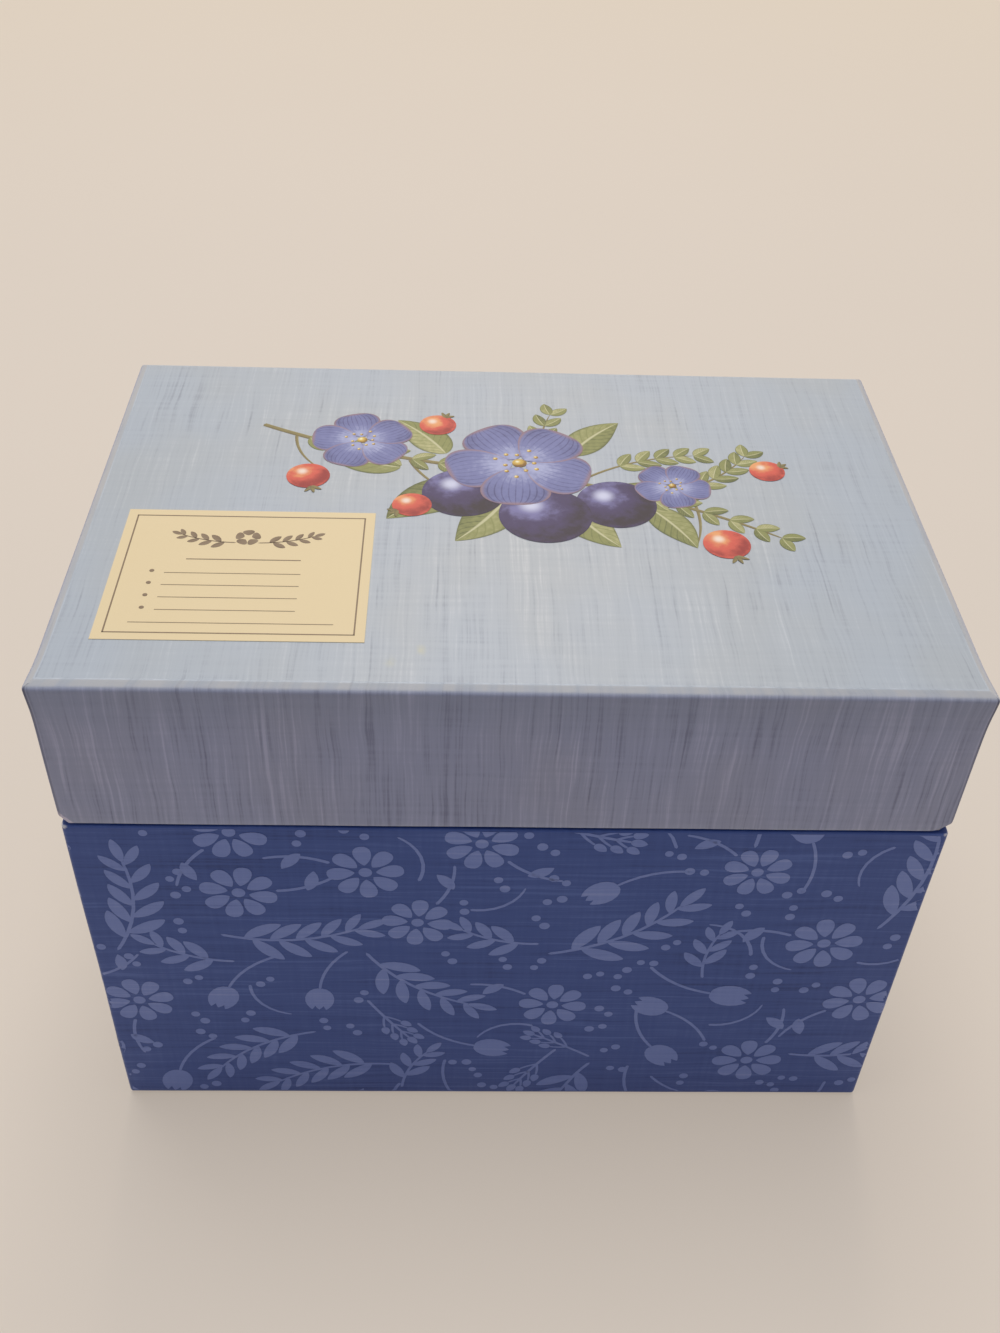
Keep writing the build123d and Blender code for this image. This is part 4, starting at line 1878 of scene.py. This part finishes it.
    def hips(self) -> Strokes:
        """Rosehips at the ends of the shoots.

        Returns:
            The strokes.
        """
        made = Strokes()
        for n, hip in enumerate(self.hip_places):
            made.disc(*hip[:3], 0.3 + 0.15 * n, 25)
        return made

    def blossoms(self) -> Strokes:
        """One large and two smaller five-petalled blossoms.

        Returns:
            The strokes.
        """
        made = Strokes()
        for x, y, radius, turn, layer in self.blossom_places:
            made.join(blossom(5, radius, radius * 0.1).placed(x, y, turn, 1.0, layer))
        return made

    def stamens(self) -> Strokes:
        """Rings of eleven yellow specks in the hearts of the blossoms.

        Returns:
            The strokes.
        """
        made = Strokes()
        for x, y, radius, *_ in self.blossom_places:
            made.disc(x, y, radius * 0.2, 0.2, 24)
            for n in range(11):
                spot = turned(np.array([radius * (0.2 + 0.07 * (n % 3)), 0.0]), 360 * n / 11) + (x, y)
                made.disc(*spot, radius * 0.065, 0.4 + 0.2 * (n % 3), 25)
        return made

    def build(self) -> None:
        """Makes each kind of motif one printed piece with its own ink."""
        kinds = (self.twigs, self.leaves, self.plums, self.hips, self.blossoms, self.stamens)
        for draw, (name, kind, rows, columns, *shades, accent) in zip(kinds, self.inks):
            ink = PaintedInk(f"ink_{name}", kind, Shades.of(*shades), srgb(*accent))
            piece = draw().piece(f"lid_picture_{draw.__name__}", self.put, rows, columns)
            settle(piece, self.skin.body, self.skin.slot, ink.material())


@dataclass
class Sticker:
    """Printed lines on the label: a border, an ornament, two centred rules, and blank lines with bullets.

    Rules are a distance below the border's back, a length and a width. Widths and places are in
    millimetres, and the lift is in metres.
    """

    node: str = "lid_label"
    ink: PaintedInk = PaintedInk(
        "sticker_ink", InkKind.STEM, Shades.of((110, 92, 70), (134, 114, 88), (156, 136, 108)),
        srgb(156, 136, 108),
    )
    lift: float = 0.02 * MM
    border_inset: float = 2.1
    border_width: float = 0.32
    rules: tuple[Triple, ...] = ((15, 23, 0.3), (35.2, 39, 0.21))
    list_rows: int = 4
    list_start: float = 19.6
    list_step: float = 3.9
    list_width: float = 0.21
    sprig_drop: float = 9.2
    blossom_drop: float = 7.4

    def __post_init__(self) -> None:
        """Reads the label's place from the frame."""
        self.low, self.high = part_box(self.node)

    def lines(self) -> Strokes:
        """Draws the lines inside the label's edges.

        Returns:
            The strokes.
        """
        wide, inset = self.border_width, self.border_inset
        left, right = self.low.x / MM + inset, self.high.x / MM - inset
        front, back = self.low.y / MM + inset, self.high.y / MM - inset
        middle = (left + right) / 2
        made = Strokes()
        for y in (front, back):
            made.add(left - wide / 2, y, 0, right - left + wide, wide)
        for x in (left, right):
            made.add(x, front, 90, back - front, wide)
        for drop, length, width in self.rules:
            made.add(middle - length / 2, back - drop, 0, length, width)
        for n in range(self.list_rows):
            y = back - self.list_start - self.list_step * n
            made.disc(left + 6, y + 0.6, 1.0)
            made.add(left + 8.5, y, 0, 27, self.list_width)
        for flip, turn in ((1, 0), (-1, 180)):
            sprig = twig(12, 26 * flip, 4, 3.4, 1.5, 0.3)
            made.join(sprig.placed(middle + 2.2 * flip, back - self.sprig_drop, turn))
        made.join(blossom(5, 2.6, 0.8).placed(middle, back - self.blossom_drop))
        return made

    def put(self, places: Array, layers: Array) -> Array:
        """Places on the label's face, all in one layer."""
        return stacked(places[..., 0], places[..., 1], self.high.z + self.lift)

    def build(self) -> None:
        """Makes the lines one printed piece on the label."""
        settle(self.lines().piece("label_lines", self.put, 9, 4), "lid", "label_paper", self.ink.material())


# Hinge, cards and pen


@dataclass
class HingeStrip:
    """One paper strip on the back, from the base's leaf to the lid's leaf, with a crease between them.

    It is rubbed along the lips of its crease, its ends and its edges. Wear is a strength and a length.
    """

    paper: WovenPaper
    base_node: str = "hinge_strip_base"
    lid_node: str = "hinge_strip_lid"
    crease_half: float = 0.45 * MM
    fine_half: float = 2.0 * MM
    groove: float = 0.13 * MM
    groove_half: float = 0.4 * MM
    edge_run: float = 0.4 * MM
    edge_share: float = 0.35
    lip: float = 0.75 * MM
    lip_wear: Span = (0.66, 0.5 * MM)
    end_wear: Span = (0.66, 0.6 * MM)
    edge_wear: Span = (0.6, 0.35 * MM)

    def build(self) -> None:
        """Carries the strip's thin section, with a shallow bell-shaped groove, along the box's width."""
        low, base_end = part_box(self.base_node)
        lid_start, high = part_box(self.lid_node)
        crease = (base_end.z + lid_start.z) / 2
        near = crease + np.linspace(-self.fine_half, self.fine_half, 33)
        z = np.concatenate([np.linspace(low.z, near[0], 9)[:-1], near, np.linspace(near[-1], high.z, 9)[1:]])
        dip = self.groove * np.exp(-(((z - crease) / self.groove_half) ** 2))
        soft = np.clip(np.minimum(z - low.z, high.z - z) / self.edge_run, 0, 1)
        thickness = self.edge_share + (1 - self.edge_share) * np.sqrt(soft)
        outer = low.y + (high.y - low.y) * thickness - dip
        section = np.concatenate([outer, np.full_like(z, low.y)]), np.concatenate([z, z[::-1]])
        loops = stacked(np.linspace(low.x, high.x, 25)[:, None], *section)
        x, z = loops[..., 0], loops[..., 2]
        lips = fading(np.abs(z - crease) - self.lip, *self.lip_wear)
        ends = fading(np.minimum(x - low.x, high.x - x), *self.end_wear)
        edges = fading(np.minimum(z - low.z, high.z - z), *self.edge_wear)
        wear = np.maximum.reduce([lips, ends, edges])
        patch = Patch.strip(loops, loops[..., [0, 2]], {"wear": wear}, flip=True)
        piece = make_piece("hinge_paper_strip", [patch], crease=50)
        piece.data.materials.append(self.paper.material())
        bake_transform(piece)
        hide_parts(self.base_node, self.lid_node)
        LOG.info("%s: %d faces bend between base and lid", piece.name, len(piece.data.polygons))


@dataclass
class CardFile:
    """The file of leaning cards: dividers with staggered tabs, recipe cards and the reference cards."""

    paper: RuledCard = RuledCard(
        "card_stock", Shades.of((226, 220, 204), (240, 235, 222), (247, 244, 234)), 0.35
    )
    tints: tuple[DividerPaper, ...] = tuple(
        DividerPaper(slot, Shades.of(*shades), 0.4, tab_middle=tab_middle * MM)
        for slot, tab_middle, *shades in (
            ("divider_blue", 27.0, (150, 164, 194), (170, 183, 209), (186, 197, 220)),
            ("divider_cream", 76.2, (224, 210, 172), (236, 224, 192), (244, 236, 210)),
            ("divider_rose", 125.4, (206, 150, 148), (220, 170, 166), (232, 188, 182)),
        )
    )
    count: int = 9
    cards_each: int = 4
    reference_cards: int = 6
    card_paper: float = 0.3 * MM
    divider_paper: float = 0.4 * MM
    gap: float = 0.05 * MM
    corner: float = 2.0 * MM
    corner_rows: int = 6
    tab_width: float = 44.0 * MM
    tab_corner: float = 4.0 * MM
    tab_inset: float = 5.0 * MM
    tab_start: float = 0.02 * MM
    tab_places: int = 3
    lean: float = 10.0
    bow: float = 0.25 * MM

    def __post_init__(self) -> None:
        """Reads the cards' and dividers' sizes and the leaves' pivots from the frame."""
        self.sin, self.cos = math.sin(math.radians(self.lean)), math.cos(math.radians(self.lean))
        self.step = self.card_paper + self.gap
        self.reference_thickness = self.reference_cards * self.step - self.gap
        self.file_thickness = self.divider_paper + self.cards_each * self.step
        low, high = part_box("reference_cards")
        self.width = high.x - low.x
        self.height = (high.z - low.z - self.reference_thickness * self.sin) / self.cos
        low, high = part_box("divider_1")
        self.tall = (high.z - low.z - self.divider_paper * self.sin) / self.cos
        self.card = self.rounded((-self.width / 2, self.width / 2), (0.0, self.height), self.corner)
        self.pivots = {joint["name"]: joint["pos_m"] for joint in frame["joints"] if "pos_m" in joint}

    def rounded(self, ends: Span, heights: Span, radius: float) -> Array:
        """A rectangle whose corners are quarter circles.

        Args:
            ends: Its left and right ends.
            heights: Its foot and its top.
            radius: The corners' radius.

        Returns:
            Rows of height, left end and right end.
        """
        (left, right), (low, high) = ends, heights
        turn = np.linspace(0, np.pi / 2, self.corner_rows)
        drop, shrink = radius * (1 - np.sin(turn)), radius * (1 - np.cos(turn))
        foot, top = (stacked(at, left + shrink, right - shrink) for at in (low + drop, high - drop))
        middle = np.linspace(low + radius, high - radius, 14)[1:-1]
        return np.concatenate([foot[::-1], stacked(middle, left, right), top])

    def leaf(self, rows: Array, thickness: float, front: float, pivot: Sequence[float]) -> Patch:
        """A sheet that stands on its pivot line, leans back and bows forward towards its upper corners.

        The bow grows with the square of the distance from the middle, and in line with the height.

        Args:
            rows: Height, left end and right end of each row.
            thickness: Thickness of the sheet.
            front: Distance of its front face behind the pivot line.
            pivot: The pivot line's place.

        Returns:
            A closed thin solid, whose map is the distance from its left end and its height.
        """
        height, left, right = rows.T[..., None]
        x = left + (right - left) * np.linspace(0, 1, 9)
        face = np.repeat([1.0, 0.0], x.shape[1])
        x = np.concatenate([x, x[:, ::-1]], axis=1)
        height, face = np.broadcast_to(height, x.shape), np.broadcast_to(face, x.shape)
        curve = self.bow * (2 * x / self.width) ** 2 * np.clip(height / self.height, 0, 1)
        depth = front + thickness * (1 - face) - curve
        y = pivot[1] + depth * self.cos + height * self.sin
        z = pivot[2] - depth * self.sin + height * self.cos
        return Patch.strip(stacked(x, y, z), stacked(x + self.width / 2, height), {"face": face})

    def cards(self, count: int, front: float, pivot: Sequence[float]) -> list[Patch]:
        """Plain cards one behind another."""
        return [self.leaf(self.card, self.card_paper, front + self.step * n, pivot) for n in range(count)]

    def divider(self, number: int, pivot: Sequence[float]) -> Patch:
        """A card with a square-footed tab at one of three places along its upper edge.

        Args:
            number: The divider's number, from the front.
            pivot: Its pivot line's place.

        Returns:
            The divider.
        """
        travel = self.width - 2 * self.tab_inset - self.tab_width
        share = (number - 1) % self.tab_places / (self.tab_places - 1)
        left = -travel / 2 + travel * share - self.tab_width / 2
        ends, heights = (left, left + self.tab_width), (self.height + self.tab_start, self.tall)
        tab = self.rounded(ends, heights, self.tab_corner)[self.corner_rows - 1 :]
        tab[0, 0] = heights[0]
        rows = np.concatenate([self.card, tab])
        return self.leaf(rows, self.divider_paper, -self.file_thickness / 2, pivot)

    def build(self) -> None:
        """Makes the leaves of every body in the file, with the dividers' tints taken in turn."""
        card = self.paper.material()
        tints = [(tint.name, tint.material()) for tint in self.tints]
        front = -self.file_thickness / 2 + self.divider_paper + self.gap
        for number in range(1, self.count + 1):
            body = f"file_{number}"
            pivot = self.pivots[f"{body}_tilt"]
            sheet = make_piece(f"tabbed_divider_{number}", [self.divider(number, pivot)])
            settle(sheet, body, *tints[(number - 1) % len(tints)], [f"divider_{number}"])
            stack = make_piece(f"ruled_cards_{number}", self.cards(self.cards_each, front, pivot))
            settle(stack, body, "card_stock", card, [f"recipe_cards_{number}"])
        stack = self.cards(self.reference_cards, -self.reference_thickness / 2, self.pivots["reference_tilt"])
        settle(make_piece("reference_section", stack), "reference", "card_stock", card, ["reference_cards"])


@dataclass
class Pen:
    """A stick pen on its side along X: turned shapes are a profile of distance and radius round its axis.

    The clip's path is given by runs back from the cap's end and drops below the cap's highest place.
    """

    plastic: GlossPlastic = GlossPlastic("pen_plastic", srgb(136, 148, 196), srgb(156, 168, 210))
    dark: GlossPlastic = GlossPlastic("pen_cap_plastic", srgb(52, 58, 112), srgb(66, 73, 128), 0.22)
    metal: TurnedMetal = TurnedMetal("pen_metal", srgb(182, 182, 186), srgb(216, 216, 218))
    sides: int = 48
    edge: float = 0.25 * MM
    barrel_radius: float = 4.1 * MM
    neck_radius: float = 3.5 * MM
    shoulder_gap: float = 0.3 * MM
    ring_count: int = 6
    ring_start: float = 5 * MM
    ring_pitch: float = 1.6 * MM
    ring_half: float = 0.3 * MM
    ring_depth: float = 0.18 * MM
    tip_face: float = 1.15 * MM
    tip_edge: float = 0.2 * MM
    tip_power: float = 1.25
    collar: float = 1.2 * MM
    collar_slope: Span = (0.1 * MM, 0.08 * MM)
    cap_bore: float = 3.8 * MM
    cap_lip: float = 0.2 * MM
    cap_end: float = 2.0 * MM
    clip_width: float = 3.2 * MM
    clip_thickness: float = 1.1 * MM
    clip_sides: int = 16
    clip_power: float = 0.45
    clip_root: float = 0.6 * MM
    clip_runs: tuple[float, ...] = (0.8, 0.8, 0.9, 1.4, 2.4, 6, 12, 18, 24, 28, 29.6, 30.6)
    clip_drops: tuple[float, ...] = (2.0, 1.2, 0.75, 0.56, 0.56, 0.6, 0.7, 0.85, 1.0, 1.15, 1.05)

    def __post_init__(self) -> None:
        """Reads the pen's axis from the frame."""
        low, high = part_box("pen_barrel")
        self.axis = ((low.y + high.y) / 2, (low.z + high.z) / 2)

    def lathe(self, *profile: Sequence[float]) -> Patch:
        """A profile of distance along X and radius carried round the axis, closed at its poles.

        Args:
            *profile: The profile's places, the first and last of them on the axis.

        Returns:
            The turned shape.
        """
        x, radius = np.array(profile).T[..., None]
        angle = np.linspace(0, 2 * np.pi, self.sides, endpoint=False)
        y, z = self.axis[0] + radius * np.cos(angle), self.axis[1] + radius * np.sin(angle)
        return Patch.grid(stacked(x, y, z), stacked(x, angle), closed=True)

    def eased(self, start: float, end: float, radius: float) -> Array:
        """A rod's outline between two ends, whose edges are quarter circles.

        Args:
            start: Its first end.
            end: Its last end.
            radius: Its radius.

        Returns:
            Distance along X and radius of each place.
        """
        turn = np.linspace(0, np.pi / 2, 5)
        run, rim = self.edge * (1 - np.cos(turn)), radius - self.edge * (1 - np.sin(turn))
        return np.concatenate([stacked(start + run, rim), stacked(end - run, rim)[::-1]])

    def barrel(self) -> Patch:
        """The barrel, then its thinner neck with shallow grip rings.

        Returns:
            The turned shape.
        """
        low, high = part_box("pen_barrel")
        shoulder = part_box("pen_cap")[0].x - self.shoulder_gap
        neck = self.neck_radius
        starts = shoulder + self.ring_start + self.ring_pitch * np.arange(self.ring_count)[:, None]
        groove = np.array([neck, neck - self.ring_depth, neck])
        rings = stacked(starts + self.ring_half * np.arange(3), groove).reshape(-1, 2)
        outline = self.eased(low.x, shoulder, self.barrel_radius)
        return self.lathe((low.x, 0), *outline, (shoulder, neck), *rings, (high.x, neck), (high.x, 0))

    def tip(self) -> Patch:
        """The metal cone with a narrow collar at its foot; its radius falls by a power of the share.

        Returns:
            The turned shape.
        """
        low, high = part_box("pen_tip")
        neck, face = self.neck_radius, self.tip_face
        collar = low.x + self.collar
        back, drop = self.collar_slope
        share = np.linspace(0, 1, 8)
        radius = neck + (face - neck) * share**self.tip_power
        cone = stacked(collar + share * (high.x - self.tip_edge - collar), radius)
        foot = ((low.x, 0), (low.x, neck), (collar - back, neck), (collar, neck - drop))
        return self.lathe(*foot, *cone, (high.x, face - self.tip_edge), (high.x, 0))

    def plug(self) -> Patch:
        """The end plug's button."""
        start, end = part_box("pen_end_plug")[0].x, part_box("pen_barrel")[0].x
        return self.lathe((start, 0), *self.eased(start, end, self.barrel_radius), (end, 0))

    def cap(self) -> list[Patch]:
        """The hollow cap, and its clip as a rounded section carried along a bent path.

        The section is an oval with the powers of its cosine and sine below one, which squares it.

        Returns:
            The cap's shell and its clip.
        """
        low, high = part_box("pen_cap")
        radius = (high.y - low.y) / 2
        inner, bore = high.x - self.cap_end, self.cap_bore
        mouth = ((inner, 0), (inner, bore), (low.x + self.cap_lip, bore), (low.x, bore + self.cap_lip))
        shell = self.lathe(*mouth, *self.eased(low.x, high.x, radius), (high.x, 0))
        lift = np.append(radius - self.clip_root, high.z - self.axis[1] - np.array(self.clip_drops) * MM)
        path = stacked(high.x - np.array(self.clip_runs) * MM, lift)
        travel = np.gradient(path, axis=0)
        travel /= np.linalg.norm(travel, axis=1, keepdims=True)
        normal = stacked(-travel[:, 1], travel[:, 0])
        turn = 2 * np.pi * (np.arange(self.clip_sides) + 0.5) / self.clip_sides
        wide, thick = (
            size / 2 * np.sign(wave) * np.abs(wave) ** self.clip_power
            for size, wave in ((self.clip_width, np.cos(turn)), (self.clip_thickness, np.sin(turn)))
        )
        x, up = np.moveaxis(path[:, None] + thick[:, None] * normal[:, None], -1, 0)
        loops = stacked(x, self.axis[0] + wide, self.axis[1] + up)
        return [shell, Patch.strip(loops, loops[..., :2])]

    def build(self) -> None:
        """Makes the turned pieces of the pen and its cap."""
        plastic, dark, metal = (finish.material() for finish in (self.plastic, self.dark, self.metal))
        for name, patches, body, slot, finish, node in (
            ("stick_barrel", [self.barrel()], "pen", "pen_plastic", plastic, "pen_barrel"),
            ("writing_tip", [self.tip()], "pen", "pen_metal", metal, "pen_tip"),
            ("end_button", [self.plug()], "pen", "pen_cap_plastic", dark, "pen_end_plug"),
            ("clip_cap", self.cap(), "pen_cap", "pen_cap_plastic", dark, "pen_cap"),
        ):
            settle(make_piece(name, patches, crease=30), body, slot, finish, [node])


def dress_kept_nodes() -> None:
    """Dresses the boards, linings, stays, neck, label and refill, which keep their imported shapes."""
    board = Shades.of((146, 142, 134), (170, 165, 156), (190, 186, 176))
    tape = Shades.of((186, 160, 122), (204, 180, 142), (216, 196, 160))
    lining = Shades.of((220, 212, 196), (232, 226, 212), (240, 235, 224))
    label = Shades.of((221, 198, 148), (233, 211, 163), (241, 222, 180))
    neck = Shades.of((216, 208, 192), (230, 224, 210), (238, 233, 222))
    for finish, *nodes in (
        (PlainPaper("grey_board", board, 0.9, 0.9), "base_board", "lid_board"),
        (PlainPaper("stay_tape", tape, 0.6), "base_corner_stays", "lid_corner_stays"),
        (PlainPaper("lining_paper", lining, 0.4), "base_lining", "lid_lining", "base_bottom_sheet"),
        (PlainPaper("label_paper", label, 0.4, 0.5), "lid_label"),
        (PlainPaper("neck_board", neck, 0.5), "neck_front", "neck_left", "neck_right"),
        (GlossPlastic("refill_plastic", srgb(52, 60, 130), srgb(62, 72, 148), 0.35), "pen_refill"),
    ):
        material = finish.material()
        for node in nodes:
            mesh = frame["nodes"][node].data
            mesh.materials.clear()
            mesh.materials.append(material)
            LOG.info("%s keeps its shape", node)


def main() -> None:
    """Builds the box's looks piece by piece."""
    logging.basicConfig(level=logging.INFO, format="%(message)s")
    Studio().build()
    lid_paper = LidPaper(
        "lid_paper", Shades.of((143, 148, 154), (177, 184, 186), (200, 205, 205)), Threads.UP,
        ThreadLook(contrast=0.7, weft=0.12, light=0.08, dark=0.3), rubbing=0.35, tint=srgb(255, 249, 238),
    )
    lid = WrapSkin(
        "lid_paper_wrap", "lid_wrap", "lid_lining", "lid", "pale_paper", lid_paper, opens_up=False,
        rim_round=0.4 * MM, facet=(1.85 * MM, 1.0 * MM), flap_lift=0.14 * MM, flare=0.6 * MM,
        worn=(
            WornCorner(-1, run=1.9 * MM, depth=2.4 * MM, rise=2.6 * MM, soft=0.1 * MM, torn=1.0),
            WornCorner(1, run=3.2 * MM, depth=2.6 * MM, rise=2.4 * MM, soft=0.25 * MM),
        ),
    )
    navy_shades = Shades.of((42, 65, 122), (60, 87, 149), (80, 106, 165))
    navy = WovenPaper("navy_paper", navy_shades, Threads.ACROSS, ThreadLook(contrast=1.1), rubbing=0.3)
    base = WrapSkin(
        "base_paper_wrap", "base_wrap", "base_lining", "base", "navy_paper", navy, opens_up=True,
        rim_round=0.45 * MM, closed_round=1.2 * MM, border=14 * MM,
    )
    hinge = HingeStrip(replace(navy, name="hinge_paper", rubbing=0.35))
    for group in (lid, base, BasePrint(base), LidPicture(lid), Sticker(), hinge, CardFile(), Pen()):
        group.build()
    dress_kept_nodes()


if __name__ == "__main__":
    main()
